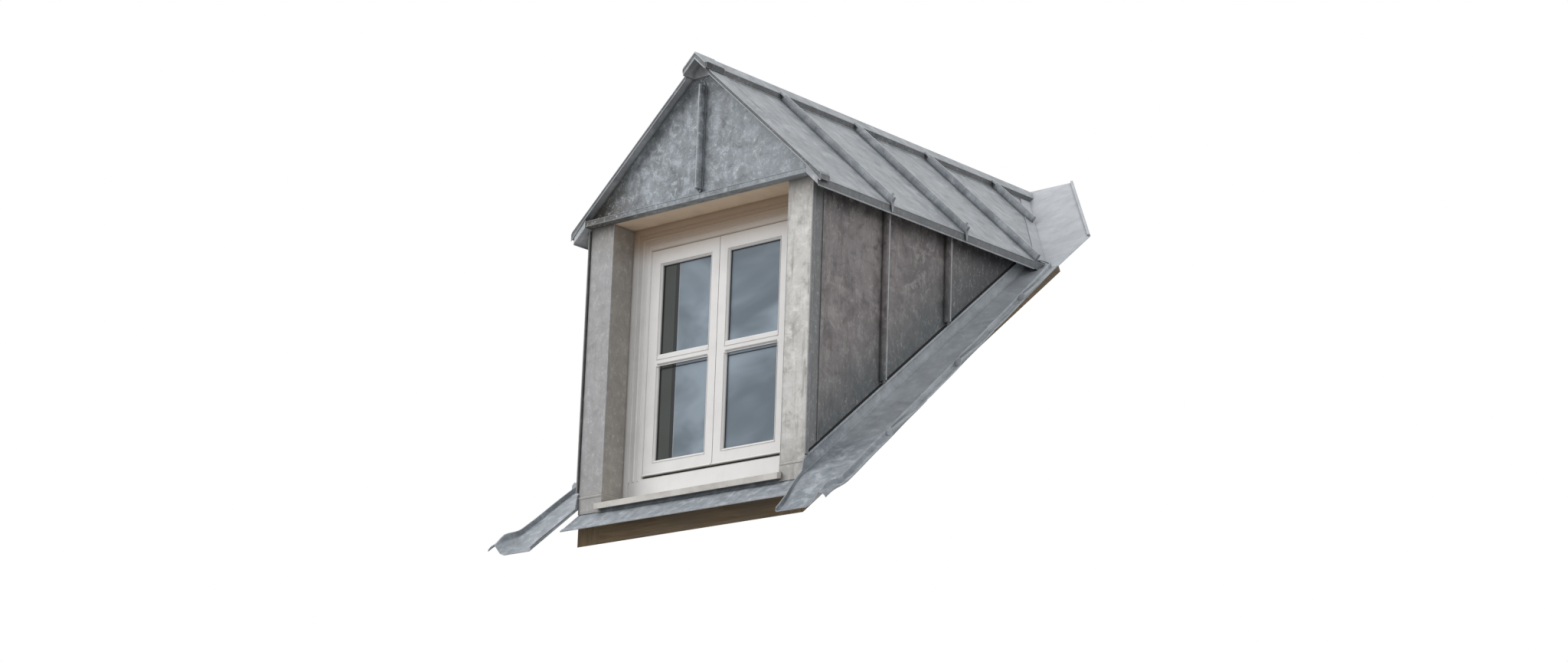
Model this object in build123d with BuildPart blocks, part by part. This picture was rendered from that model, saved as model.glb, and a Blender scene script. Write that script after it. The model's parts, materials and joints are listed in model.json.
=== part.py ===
# Zinc-clad gabled dormer window, in millimetres.
# The front faces -Y and Z is up. The origin lies on the underside of the front curb, on the
# middle line, where the timber base of the dormer sits on the rafters of the main roof.
import os
from math import atan, cos, radians, sin, tan

from build123d import *

os.makedirs("parts", exist_ok=True)

# Slopes in degrees
main_pitch = 40.0
dormer_pitch = 43.0
verge_pitch = 42.2        # the verge strips rise a little over the roof towards the eaves

# Front, seen square on
front_width = 1100.0      # over the zinc of both corner posts
post_face = 115.0         # width of a post casing
front_depth = 90.0        # casing face, in front of the origin
reveal_depth = 110.0      # casing face to window frame
opening_head = 1143.0     # soffit over the window, above the origin

# Roof
flashing_height = 90.0    # rafters of the main roof to its flashings, square to the slope
verge_overhang = 40.0     # verge strips past the casing face
eave_overhang = 54.0      # roof boards past the cheek
deck_thickness = 18.0
rafter_depth = 80.0
rafter_width = 45.0
rafter_pitch = 380.0
rafter_count = 5
ridge_board_width = 27.0
ridge_board_depth = 120.0

# Sheet metal
sheet = 2.0
seam_height = 28.0
seam_width = 12.0
seam_stem = 4.0
seam_head_depth = 10.0
seam_round = 3.5
seam_foot = 20.0          # folded end of a roof seam, down the fascia
seam_foot_thickness = 3.0
roof_bay = 430.0
roof_seams = 4
first_roof_seam = 365.0   # behind the casing face
cheek_bay = 357.0
cheek_seams = 2
first_cheek_seam = 393.0  # behind the casing face
gable_seam_stop = 62.0    # top of the gable's seam, below the underside of the boards
gable_seam_start = 22.0   # foot of the seam, above the drip trim
corner_lock_width = 14.0
corner_lock_height = 4.0
cheek_gap = 8.0           # open joint between the cheek sheets and the upstand

# Timber of the walls
curb_width = 82.0
stud_width = 60.0
stud_thickness = 45.0
stud_pitch = 330.0
stud_count = 3
cheek_board = 22.0
gable_board_thickness = 22.0
plate_height = 60.0
lintel_height = 80.0
valley_bed_inner = 100.0
valley_bed_outer = 100.0

# Window
frame_depth = 65.0
frame_setback = 8.0       # casement face behind the frame face
stop_lap = 12.0
casement_gap = 2.0
drip_gap = 6.0            # gap under the casements
frame_band = 22.0         # raised band round the frame, next to the reveal
frame_sunk = 5.0
casement_half = 345.0
casement_head = 96.0      # top of the casements, below the opening head
casement_foot = 101.0     # bottom of the casements, above the underside of the frame
casement_thickness = 42.0
outer_stile = 54.0
meeting_stile = 47.0
top_rail = 61.0
bottom_rail = 56.0
glazing_bar = 42.0
bar_offset = 9.0          # glazing bar above the middle of the lights
glass_thickness = 20.0
glass_face = 14.0         # glass behind the casement face
glass_lap = 7.0
moulding = 6.0
frame_moulding = 5.0
frame_bottom = 85.0

# Sill, soffit and flashings
sill_projection = 25.0
sill_ear = 12.0           # sill nose past each reveal
sill_thickness = 22.0
sill_lap = 18.0           # sill top above the underside of the frame
sill_fall = 12.0          # degrees
soffit_thickness = 12.0
apron_depth = 90.0
apron_hem = 10.0
tray_floor = 105.0        # at its upper end
tray_spread = 125.0       # added to the floor's width at its foot
tray_flange = 38.0
tray_fold = 8.0
tray_fold_height = 18.0
tray_upstand = 62.0
tray_forward = 190.0      # foot of the tray, in front of the casing face
inner_fold_high = 28.0
inner_fold_low = 12.0
upstand_wrap = 8.0        # upstand past the face of the casing
tray_step_rise = 30.0     # sheet pressed up in steps along the tray
tray_step_length = 190.0
tray_step_first = 130.0   # up the slope from the origin
tray_step_gauge = 540.0
tray_steps = 3
foot_hump_width = 78.0
foot_hump_length = 170.0
valley_upstand = 45.0
valley_pan = 200.0
pan_head = 60.0           # valley flashing above the rear end of the ridge
pan_lip = 12.0
pan_lip_height = 10.0
base_band = 65.0
band_proud = 1.5
band_hem = 7.0
hem_proud = 3.0
corner_return = 55.0
drip_projection = 38.0
drip_nose = 20.0
drip_slope = 8.0
fascia_height = 31.0
fascia_kick = 2.0
verge_width = 70.0        # at the eave
verge_head_width = 94.0   # at the ridge cap
verge_rise = 4.0          # underside of the strip above the boards, at the ridge
verge_leg = 12.0          # front edge of the strip, folded down
verge_drop = 20.0         # tip of the strip's end, below its top
verge_past_eave = 16.0
verge_round = 34.0
cap_leg = 74.0
cap_rise = 20.0           # underside of the ridge cap above the boards
cap_forward = 16.0        # ridge cap past the verge trims
collar_length = 100.0
collar_pad = 6.0          # rounded hem at each side of the collar
hood_lip = 20.0           # folded front edge of the hood
hood_plate = 3.0
tie_clearance = 0.5

# Worked out from the sizes above
main_angle = radians(main_pitch)
dormer_angle = radians(dormer_pitch)
verge_angle = radians(verge_pitch)
half_width = front_width / 2
soffit_level = opening_head + half_width * tan(dormer_angle)
deck_apex = soffit_level + deck_thickness / cos(dormer_angle)
front_y = -front_depth
timber_front = front_y + sheet
inner_x = half_width - post_face
timber_half = half_width - sheet
post_inner = inner_x + sheet
frame_y = front_y + reveal_depth
frame_back = frame_y + frame_depth
casement_y = frame_y + frame_setback
stop_y = casement_y + casement_thickness
eave_x = half_width + eave_overhang
verge_y = front_y - verge_overhang
roof_rear = deck_apex / tan(main_angle) + front_depth
slope_reach = 2 * eave_x
frame_top = opening_head + soffit_thickness
casement_top = opening_head - casement_head
casement_bottom = frame_bottom + casement_foot
stud_inner = timber_half - cheek_board - stud_width
cheek_level = flashing_height + sheet + tray_upstand + cheek_gap
hem_x = cap_leg * cos(dormer_angle)
sill_drop = tan(radians(sill_fall))
sill_top_rear = frame_bottom + sill_lap
sill_under_rear = sill_top_rear - sill_thickness / cos(radians(sill_fall))

# Planes
front_plane = Plane(origin=(0, 0, 0), x_dir=(1, 0, 0), z_dir=(0, -1, 0))
middle = Plane.YZ
slope_section = Plane(
    origin=(0, 0, deck_apex),
    x_dir=(0, 1, 0),
    z_dir=(cos(dormer_angle), 0, -sin(dormer_angle)),
)


def roof_level(height):
    # A plane parallel to the main roof, this far above its rafters
    return Plane(
        origin=(0, 0, height / cos(main_angle)),
        x_dir=(1, 0, 0),
        z_dir=(0, -sin(main_angle), cos(main_angle)),
    )


def slope_level(height, side=1):
    # A plane parallel to one dormer slope, this far above its boards
    return Plane(
        origin=(0, 0, deck_apex + height / cos(dormer_angle)),
        x_dir=(0, 1, 0),
        z_dir=(side * sin(dormer_angle), 0, cos(dormer_angle)),
    )


def strip_level(height, side=1):
    # A plane parallel to one verge strip, this far above its underside
    return Plane(
        origin=(0, 0, deck_apex + (verge_rise + height) / cos(verge_angle)),
        x_dir=(0, 1, 0),
        z_dir=(side * sin(verge_angle), 0, cos(verge_angle)),
    )


def slope_height(x, height=0.0):
    # Height of the dormer slope at x, for a layer this far above the boards
    return deck_apex + height / cos(dormer_angle) - abs(x) * tan(dormer_angle)


def strip_height(x, height=0.0):
    # Height of a verge strip at x, for a layer this far above its underside
    return deck_apex + (verge_rise + height) / cos(verge_angle) - abs(x) * tan(verge_angle)


def roof_height(y, height=0.0):
    # Height of the main roof at y, for a layer this far above its rafters
    return y * tan(main_angle) + height / cos(main_angle)


def up_main_roof(x, layer, height):
    # Distance up the main roof at which a layer of the dormer slope meets a roof level
    return (slope_height(x, layer) - height / cos(main_angle)) / sin(main_angle)


def mirrored(piece):
    with BuildPart() as twin:
        mirror(piece.part, about=middle)
    return twin


def save(piece, name):
    piece.part.label = name
    export_step(piece.part, f"parts/{name}.step")


def save_pair(right, name):
    save(right, f"{name}_right")
    save(mirrored(right), f"{name}_left")


def from_side(points, x_from, x_to):
    # A piece cut to a side profile in Y and Z
    with BuildPart() as piece:
        with BuildSketch(middle.offset(x_from)):
            with BuildLine():
                Polyline(*points, close=True)
            make_face()
        extrude(amount=x_to - x_from)
    return piece


def under_boards(side):
    return slope_level(-deck_thickness, side)


def under_strips(side):
    return strip_level(0, side)


def under_gable(x_from, x_to, z_from, z_to, y_from, y_to, cover=under_boards):
    # An upright piece in the front, cut off under what covers it on both slopes
    with BuildPart() as piece:
        with BuildSketch(front_plane.offset(-y_from)):
            with Locations(((x_from + x_to) / 2, (z_from + z_to) / 2)):
                Rectangle(x_to - x_from, z_to - z_from)
        extrude(amount=y_from - y_to)
        for side in (1, -1):
            split(bisect_by=cover(side), keep=Keep.BOTTOM)
    return piece


def slope_slab(y_from, y_to, layer_from, layer_to, x_from, x_to, level):
    # A flat layer on the right-hand slope, cut off at a level over the main roof
    with BuildPart() as piece:
        with BuildSketch(slope_section):
            with Locations(((y_from + y_to) / 2, (layer_from + layer_to) / 2)):
                Rectangle(y_to - y_from, layer_to - layer_from)
        extrude(amount=slope_reach, both=True)
        split(bisect_by=middle.offset(x_from), keep=Keep.TOP)
        split(bisect_by=middle.offset(x_to), keep=Keep.BOTTOM)
        split(bisect_by=roof_level(level), keep=Keep.TOP)
    return piece


def seam_outline(place, base):
    # Standing seam in section: a thin stem with its head folded over to one side
    top = base + seam_height
    fold = top - seam_head_depth
    Polyline(
        (place, base),
        (place + seam_stem, base),
        (place + seam_stem, top),
        (place + seam_stem - seam_width, top),
        (place + seam_stem - seam_width, fold),
        (place, fold),
        close=True,
    )


def round_seam():
    make_face()
    fillet(vertices().sort_by(Axis.Y)[-2:], seam_round)


def sill_under(y):
    return sill_under_rear - (frame_y - y) * sill_drop


def sill_top(y):
    return sill_top_rear - (frame_y - y) * sill_drop


# Base: curbs that lie on the rafters of the main roof
front_curb = from_side(
    [
        (timber_front, roof_height(timber_front)),
        (frame_back, roof_height(frame_back)),
        (frame_back, frame_bottom),
        (frame_y, frame_bottom),
        (frame_y, sill_under(frame_y)),
        (timber_front, sill_under(timber_front)),
    ],
    -post_inner,
    post_inner,
)
save(front_curb, "front_curb")

with BuildPart() as side_curb:
    with BuildSketch(front_plane.offset(-frame_back)):
        with Locations((timber_half - curb_width / 2, deck_apex / 2)):
            Rectangle(curb_width, 3 * deck_apex)
    extrude(amount=-roof_rear)
    split(bisect_by=roof_level(0), keep=Keep.TOP)
    split(bisect_by=roof_level(flashing_height), keep=Keep.BOTTOM)
    split(bisect_by=slope_level(-deck_thickness), keep=Keep.BOTTOM)
save_pair(side_curb, "side_curb")

# Corner posts and lintel under the roof boards, and gable boards that carry the verge strips
corner_post = under_gable(post_inner, timber_half, -frame_top, frame_top, timber_front, frame_back)
with corner_post:
    split(bisect_by=roof_level(0), keep=Keep.TOP)
save_pair(corner_post, "corner_post")

lintel_y = timber_front + gable_board_thickness
lintel_top = frame_top + lintel_height
lintel = under_gable(-timber_half, timber_half, frame_top, lintel_top, lintel_y, frame_back)
save(lintel, "lintel")

gable_top = 2 * deck_apex
gable_boards = under_gable(
    -timber_half, timber_half, frame_top, gable_top, timber_front, lintel_y, under_strips
)
save(gable_boards, "gable_boards")

# Cheek framing: wall plate, studs and boards
plate_outer = timber_half - cheek_board
plate_low = slope_height(plate_outer, -deck_thickness - rafter_depth) - plate_height
with BuildPart() as wall_plate:
    with BuildSketch(front_plane.offset(-frame_back)):
        with BuildLine():
            Polyline(
                (stud_inner, plate_low),
                (plate_outer, plate_low),
                (plate_outer, slope_height(plate_outer, -deck_thickness - rafter_depth)),
                (stud_inner, slope_height(stud_inner, -deck_thickness - rafter_depth)),
                close=True,
            )
        make_face()
    extrude(amount=-roof_rear)
    split(bisect_by=roof_level(flashing_height), keep=Keep.TOP)
save_pair(wall_plate, "wall_plate")

with BuildPart() as cheek_studs:
    for stud in range(stud_count):
        stud_y = frame_back + stud_pitch * (stud + 0.5)
        with BuildSketch(Plane.XY.offset(plate_low)):
            with Locations((plate_outer - stud_width / 2, stud_y)):
                Rectangle(stud_width, stud_thickness)
        extrude(amount=-deck_apex)
    split(bisect_by=roof_level(flashing_height), keep=Keep.TOP)
save_pair(cheek_studs, "cheek_studs")

with BuildPart() as cheek_boards:
    with BuildSketch(front_plane.offset(-frame_back)):
        with BuildLine():
            Polyline(
                (plate_outer, 0),
                (timber_half, 0),
                (timber_half, slope_height(timber_half, -deck_thickness)),
                (plate_outer, slope_height(plate_outer, -deck_thickness)),
                close=True,
            )
        make_face()
    extrude(amount=-roof_rear)
    split(bisect_by=roof_level(flashing_height), keep=Keep.TOP)
save_pair(cheek_boards, "cheek_boards")

# Roof framing
with BuildPart() as rafters:
    for rafter in range(rafter_count):
        rafter_y = frame_back + rafter_width / 2 + tie_clearance + rafter * rafter_pitch
        with BuildSketch(slope_section):
            with Locations((rafter_y, -deck_thickness - rafter_depth / 2)):
                Rectangle(rafter_width, rafter_depth)
        extrude(amount=slope_reach, both=True)
    split(bisect_by=middle.offset(ridge_board_width / 2), keep=Keep.TOP)
    split(bisect_by=middle.offset(plate_outer), keep=Keep.BOTTOM)
    split(bisect_by=roof_level(flashing_height), keep=Keep.TOP)
save_pair(rafters, "rafters")

ridge_half = ridge_board_width / 2
with BuildPart() as ridge_board:
    with BuildSketch(front_plane.offset(-lintel_y)):
        with BuildLine():
            Polyline(
                (-ridge_half, soffit_level - ridge_board_depth),
                (ridge_half, soffit_level - ridge_board_depth),
                (ridge_half, slope_height(ridge_half, -deck_thickness)),
                (0, soffit_level),
                (-ridge_half, slope_height(ridge_half, -deck_thickness)),
                close=True,
            )
        make_face()
    extrude(amount=-roof_rear)
    split(bisect_by=roof_level(flashing_height), keep=Keep.TOP)
save(ridge_board, "ridge_board")

roof_boards = slope_slab(lintel_y, roof_rear, -deck_thickness, 0, 0, eave_x, flashing_height)
save_pair(roof_boards, "roof_boards")

edge_ratio = (1 + (tan(dormer_angle) / sin(main_angle)) ** 2) ** 0.5
pan_top_run = up_main_roof(0, 0, flashing_height) + pan_head
pan_top = Plane(
    origin=(0, pan_top_run * cos(main_angle), pan_top_run * sin(main_angle)),
    x_dir=(1, 0, 0),
    z_dir=(0, cos(main_angle), sin(main_angle)),
)

# Valley beds: thick boards on the main rafters, under the rear edge of the dormer roof
with BuildPart() as valley_bed:
    with BuildSketch(roof_level(0)):
        with BuildLine():
            Polyline(
                (0, up_main_roof(0, -deck_thickness, flashing_height) - valley_bed_inner * edge_ratio),
                (0, up_main_roof(0, 0, flashing_height) + valley_bed_outer * edge_ratio),
                (
                    timber_half - curb_width,
                    up_main_roof(timber_half - curb_width, 0, flashing_height)
                    + valley_bed_outer * edge_ratio,
                ),
                (
                    timber_half - curb_width,
                    up_main_roof(timber_half - curb_width, -deck_thickness, flashing_height)
                    - valley_bed_inner * edge_ratio,
                ),
                close=True,
            )
        make_face()
    extrude(amount=flashing_height)
    split(bisect_by=pan_top, keep=Keep.BOTTOM)
save_pair(valley_bed, "valley_bed")

# Sheet-metal skins of the roof: each seam runs from the ridge cap down over the eave, where its
# end is folded down the fascia
foot_x = eave_x + sheet + seam_foot_thickness
roof_seam_places = [front_y + first_roof_seam + seam * roof_bay for seam in range(roof_seams)]
with BuildPart() as roof_seam_run:
    for place in roof_seam_places:
        with BuildSketch(slope_section):
            with BuildLine():
                seam_outline(place, sheet)
            round_seam()
        extrude(amount=slope_reach, both=True)
    split(bisect_by=middle.offset(foot_x), keep=Keep.BOTTOM)
    foot_top = slope_height(eave_x + sheet, sheet + seam_height / 2)
    for place in roof_seam_places:
        with BuildSketch(middle.offset(eave_x + sheet)):
            with Locations((place + seam_stem / 2, foot_top - seam_foot)):
                Rectangle(seam_stem, 2 * seam_foot)
        extrude(amount=seam_foot_thickness)
    split(bisect_by=middle.offset(hem_x), keep=Keep.TOP)

with BuildPart() as roof_cladding:
    with BuildSketch(slope_section):
        with Locations(((lintel_y + roof_rear) / 2, sheet / 2)):
            Rectangle(roof_rear - lintel_y, sheet)
    extrude(amount=slope_reach, both=True)
    split(bisect_by=middle, keep=Keep.TOP)
    split(bisect_by=middle.offset(eave_x), keep=Keep.BOTTOM)
    add(roof_seam_run.part)
    split(bisect_by=roof_level(flashing_height + valley_upstand), keep=Keep.TOP)
save_pair(roof_cladding, "roof_cladding")

cladding_low = opening_head + drip_nose + drip_slope
gable_sheet = under_gable(
    -half_width, half_width, cladding_low, gable_top, front_y, timber_front, under_strips
)
seam_low = cladding_low + gable_seam_start
seam_top = soffit_level - gable_seam_stop
with BuildPart() as gable_cladding:
    add(gable_sheet.part)
    with BuildSketch(
        Plane(origin=(0, front_y, seam_low), x_dir=(-1, 0, 0), z_dir=(0, 0, 1))
    ):
        with BuildLine():
            seam_outline(-seam_stem / 2, 0)
        round_seam()
    extrude(amount=seam_top - seam_low)
save(gable_cladding, "gable_cladding")

# Drip trim that closes the gable cladding over the window
drip_front = front_y - drip_projection
with BuildPart() as gable_drip_trim:
    with BuildSketch(middle.offset(-half_width)):
        with BuildLine():
            Polyline(
                (timber_front, opening_head),
                (drip_front, opening_head),
                (drip_front, opening_head + drip_nose),
                (front_y, cladding_low),
                (timber_front, cladding_low),
                (timber_front, cladding_low - sheet),
                (front_y, cladding_low - sheet),
                (drip_front + sheet, opening_head + drip_nose - sheet),
                (drip_front + sheet, opening_head + sheet),
                (timber_front, opening_head + sheet),
                close=True,
            )
        make_face()
    extrude(amount=front_width)
save(gable_drip_trim, "gable_drip_trim")

# Post casings: front face, reveal, corner return and a base band, folded from one sheet
casing_low = roof_height(timber_front, flashing_height + sheet)
band_top = casing_low + base_band
post_face_sheet = under_gable(
    inner_x, half_width, casing_low, opening_head, front_y, timber_front
)
with BuildPart() as post_casing:
    add(post_face_sheet.part)
    with BuildSketch(middle.offset(inner_x)):
        with BuildLine():
            Polyline(
                (timber_front, sill_under(timber_front)),
                (frame_y, sill_under(frame_y)),
                (frame_y, opening_head),
                (timber_front, opening_head),
                close=True,
            )
        make_face()
    extrude(amount=sheet)
    cheek_front = timber_front + corner_return
    with BuildSketch(middle.offset(timber_half)):
        with BuildLine():
            Polyline(
                (timber_front, roof_height(timber_front, cheek_level)),
                (cheek_front, roof_height(cheek_front, cheek_level)),
                (cheek_front, slope_height(half_width, -deck_thickness)),
                (timber_front, slope_height(half_width, -deck_thickness)),
                close=True,
            )
        make_face()
    extrude(amount=sheet)
    # Base band, with a hem along its top, turned round into the reveal
    band_middle = inner_x + post_face / 2
    for height, top, proud in (
        (base_band, band_top, band_proud),
        (band_hem, band_top, hem_proud),
    ):
        with BuildSketch(front_plane.offset(-front_y)):
            with Locations((band_middle, top - height / 2)):
                Rectangle(post_face, height)
        extrude(amount=proud)
    with BuildSketch(middle.offset(inner_x)):
        with BuildLine():
            Polyline(
                (front_y - band_proud, sill_top(front_y - band_proud)),
                (frame_y, sill_top(frame_y)),
                (frame_y, band_top),
                (front_y - band_proud, band_top),
                close=True,
            )
        make_face()
    extrude(amount=-band_proud)
save_pair(post_casing, "post_casing")

# Cheek cladding with its standing seams and a flat lock at the corner post
with BuildPart() as cheek_cladding:
    with BuildSketch(middle.offset(timber_half)):
        with BuildLine():
            Polyline(
                (cheek_front, 0),
                (roof_rear, 0),
                (roof_rear, slope_height(half_width, -deck_thickness)),
                (cheek_front, slope_height(half_width, -deck_thickness)),
                close=True,
            )
        make_face()
    extrude(amount=sheet)
    cheek_section = Plane(origin=(half_width, 0, 0), x_dir=(0, 1, 0), z_dir=(0, 0, -1))
    for seam in range(cheek_seams):
        with BuildSketch(cheek_section):
            with BuildLine():
                seam_outline(front_y + first_cheek_seam + seam * cheek_bay, 0)
            round_seam()
        extrude(amount=-deck_apex)
    with BuildSketch(cheek_section):
        with Locations((cheek_front + corner_lock_width / 2, corner_lock_height / 2)):
            Rectangle(corner_lock_width, corner_lock_height)
    extrude(amount=-deck_apex)
    split(bisect_by=slope_level(-deck_thickness - sheet), keep=Keep.BOTTOM)
    split(bisect_by=roof_level(cheek_level), keep=Keep.TOP)
save_pair(cheek_cladding, "cheek_cladding")

# Verge trims: raised strips on the gable boards and the roof's edge, wider towards the ridge,
# with a rounded folded end past the eave
trim_front = verge_y - sheet
trim_end = eave_x + verge_past_eave
trim_start = hem_x + sheet


def verge_block(inset, drop):
    # The strip as a block over the eave, set in by this much, with its outer rear corner rounded
    front = trim_front + inset
    end = trim_end - inset
    with BuildPart() as block:
        with BuildSketch(Plane.XY):
            with BuildLine():
                Polyline(
                    (trim_start, front),
                    (end, front),
                    (end, trim_front + verge_width - inset),
                    (trim_start, trim_front + verge_head_width - inset),
                    close=True,
                )
            make_face()
            fillet(vertices().group_by(Axis.X)[-1].sort_by(Axis.Y)[-1], verge_round - inset)
        extrude(amount=2 * deck_apex)
        split(bisect_by=strip_level(sheet - inset), keep=Keep.BOTTOM)
        split(bisect_by=strip_level(sheet - drop), keep=Keep.TOP)
    return block


trim_block = verge_block(0, verge_drop)
trim_hollow = verge_block(sheet, verge_drop + sheet)
strip_back = trim_front + verge_head_width
with BuildPart() as verge_trim:
    add(trim_block.part)
    add(trim_hollow.part, mode=Mode.SUBTRACT)
    # Behind the front edge the strip goes no lower than the cladding
    with BuildSketch(slope_section):
        with Locations(((verge_y + strip_back) / 2, sheet - 2 * verge_drop)):
            Rectangle(strip_back - verge_y, 4 * verge_drop)
    extrude(amount=slope_reach, both=True, mode=Mode.SUBTRACT)
    # The front edge is a narrow fold until it drops to the tip of the strip's end
    edge_low = sheet - verge_leg
    with BuildSketch(front_plane.offset(-verge_y)):
        with BuildLine():
            Polyline(
                (trim_start, strip_height(trim_start, edge_low)),
                (half_width, strip_height(half_width, edge_low)),
                (trim_end, strip_height(trim_end, sheet - verge_drop)),
                (trim_end, 0),
                (trim_start, 0),
                close=True,
            )
        make_face()
    extrude(amount=sheet, mode=Mode.SUBTRACT)
save_pair(verge_trim, "verge_trim")

# Ridge cap with a down-turned hem and an open hood at the front
cap_front = trim_front - cap_forward


def cap_outline(layer, edge):
    # Two legs that follow the slopes at this layer, with a hem down to the cladding
    inside = edge - sheet
    Polyline(
        (0, slope_height(0, layer + sheet)),
        (edge, slope_height(edge, layer + sheet)),
        (edge, slope_height(edge, sheet)),
        (inside, slope_height(inside, sheet)),
        (inside, slope_height(inside, layer)),
        (0, slope_height(0, layer)),
        (-inside, slope_height(inside, layer)),
        (-inside, slope_height(inside, sheet)),
        (-edge, slope_height(edge, sheet)),
        (-edge, slope_height(edge, layer + sheet)),
        close=True,
    )


collar_top = cap_rise + 2 * sheet
hood_low = collar_top - hood_lip
cap_layers = (
    (cap_rise, hem_x, roof_rear + valley_pan - cap_front),
    (cap_rise + sheet, hem_x + sheet, collar_length),
)
with BuildPart() as ridge_cap:
    for layer, edge, length in cap_layers:
        with BuildSketch(front_plane.offset(-cap_front)):
            with BuildLine():
                cap_outline(layer, edge)
            make_face()
        extrude(amount=-length)
    # Front edge of the hood, and the plate that closes it against the gable
    with BuildSketch(front_plane.offset(-cap_front)):
        with BuildLine():
            Polyline(
                (0, slope_height(0, collar_top)),
                (hem_x, slope_height(hem_x, collar_top)),
                (hem_x, slope_height(hem_x, hood_low)),
                (0, slope_height(0, hood_low)),
                (-hem_x, slope_height(hem_x, hood_low)),
                (-hem_x, slope_height(hem_x, collar_top)),
                close=True,
            )
        make_face()
    extrude(amount=-sheet)
    with BuildSketch(front_plane.offset(-front_y)):
        with BuildLine():
            Polyline(
                (0, slope_height(0, cap_rise)),
                (hem_x, slope_height(hem_x, cap_rise)),
                (hem_x, slope_height(hem_x, sheet)),
                (-hem_x, slope_height(hem_x, sheet)),
                (-hem_x, slope_height(hem_x, cap_rise)),
                close=True,
            )
        make_face()
    extrude(amount=hood_plate)
    # Rounded hems at the sides of the collar
    pad_low = strip_height(hem_x, sheet)
    pad_height = slope_height(hem_x, collar_top) - pad_low
    pad_y = cap_front + collar_length / 2
    for side in (1, -1):
        pad_side = Plane(
            origin=(side * hem_x, pad_y, pad_low + pad_height / 2),
            x_dir=(0, 1, 0),
            z_dir=(side, 0, 0),
        )
        with BuildSketch(pad_side):
            RectangleRounded(collar_length, pad_height, pad_height / 3)
        extrude(amount=collar_pad)
    # Room for the tops of the gable boards and their cladding
    with BuildSketch(front_plane.offset(-front_y)):
        with BuildLine():
            Polyline(
                (0, strip_height(0)),
                (trim_start, strip_height(trim_start)),
                (trim_start, strip_height(trim_start) - cap_leg),
                (-trim_start, strip_height(trim_start) - cap_leg),
                (-trim_start, strip_height(trim_start)),
                close=True,
            )
        make_face()
    extrude(amount=front_y - lintel_y, mode=Mode.SUBTRACT)
    split(bisect_by=roof_level(flashing_height + sheet), keep=Keep.TOP)
save(ridge_cap, "ridge_cap")

# Eaves trims over the ends of the roof boards, turned back under them to the cheek
eave_top = slope_height(eave_x, sheet)
fascia_low = eave_top - fascia_height
leg_under = -deck_thickness - sheet
with BuildPart() as eaves_trim:
    with BuildSketch(front_plane.offset(-verge_y)):
        with BuildLine():
            Polyline(
                (eave_x, eave_top),
                (eave_x, slope_height(eave_x, -deck_thickness)),
                (half_width, slope_height(half_width, -deck_thickness)),
                (half_width, slope_height(half_width, leg_under)),
                (eave_x, slope_height(eave_x, leg_under)),
                (eave_x, fascia_low),
                (eave_x + fascia_kick, fascia_low - fascia_kick),
                (eave_x + fascia_kick + sheet, fascia_low - fascia_kick),
                (eave_x + sheet, fascia_low),
                (eave_x + sheet, slope_height(eave_x + sheet, sheet)),
                close=True,
            )
        make_face()
    extrude(amount=-roof_rear)
    # Plate that closes the end of the eave under the verge strip
    with BuildSketch(front_plane.offset(-verge_y)):
        with BuildLine():
            Polyline(
                (half_width, slope_height(half_width, leg_under)),
                (eave_x, slope_height(eave_x, leg_under)),
                (eave_x, fascia_low),
                (eave_x + sheet, fascia_low),
                (eave_x + sheet, strip_height(eave_x + sheet)),
                (half_width, strip_height(half_width)),
                close=True,
            )
        make_face()
    extrude(amount=-sheet)
    split(bisect_by=roof_level(flashing_height + sheet), keep=Keep.TOP)
save_pair(eaves_trim, "eaves_trim")

# Window frame with a raised band next to the reveal and a stop behind the casements
pocket_half = casement_half + casement_gap
pocket_low = casement_bottom - drip_gap
pocket_high = casement_top + casement_gap
field_half = inner_x - frame_band
field_top = opening_head - frame_band
pocket_middle = (pocket_low + pocket_high) / 2
frame_middle = (frame_bottom + frame_top) / 2
with BuildPart() as window_frame:
    with BuildSketch(front_plane.offset(-frame_y)):
        with Locations((0, frame_middle)):
            Rectangle(2 * post_inner, frame_top - frame_bottom)
        with Locations((0, pocket_middle)):
            Rectangle(
                2 * (pocket_half - stop_lap),
                pocket_high - pocket_low - 2 * stop_lap,
                mode=Mode.SUBTRACT,
            )
    extrude(amount=-frame_depth)
    with BuildSketch(front_plane.offset(-frame_y)):
        with Locations((0, pocket_middle)):
            Rectangle(2 * pocket_half, pocket_high - pocket_low)
    extrude(amount=frame_y - stop_y, mode=Mode.SUBTRACT)
    with BuildSketch(front_plane.offset(-frame_y)):
        with Locations((0, (frame_bottom + field_top) / 2)):
            Rectangle(2 * field_half, field_top - frame_bottom)
    extrude(amount=-frame_sunk, mode=Mode.SUBTRACT)
    field = window_frame.faces().filter_by(Axis.Y).group_by(Axis.Y)[1].sort_by(SortBy.AREA)[-1]
    chamfer(field.inner_wires()[0].edges(), frame_moulding)
save(window_frame, "window_frame")

# Casements, each with two lights divided by one glazing bar
light_inner = casement_gap / 2 + meeting_stile
light_outer = casement_half - outer_stile
light_width = light_outer - light_inner
light_low = casement_bottom + bottom_rail
light_high = casement_top - top_rail
bar_level = (light_low + light_high) / 2 + bar_offset
light_spans = [
    (light_low, bar_level - glazing_bar / 2),
    (bar_level + glazing_bar / 2, light_high),
]


def light_outlines(lap):
    # The openings for glass, larger by the lap on every side
    for low, high in light_spans:
        with Locations(((light_inner + light_outer) / 2, (low + high) / 2)):
            Rectangle(light_width + 2 * lap, high - low + 2 * lap)


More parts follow.
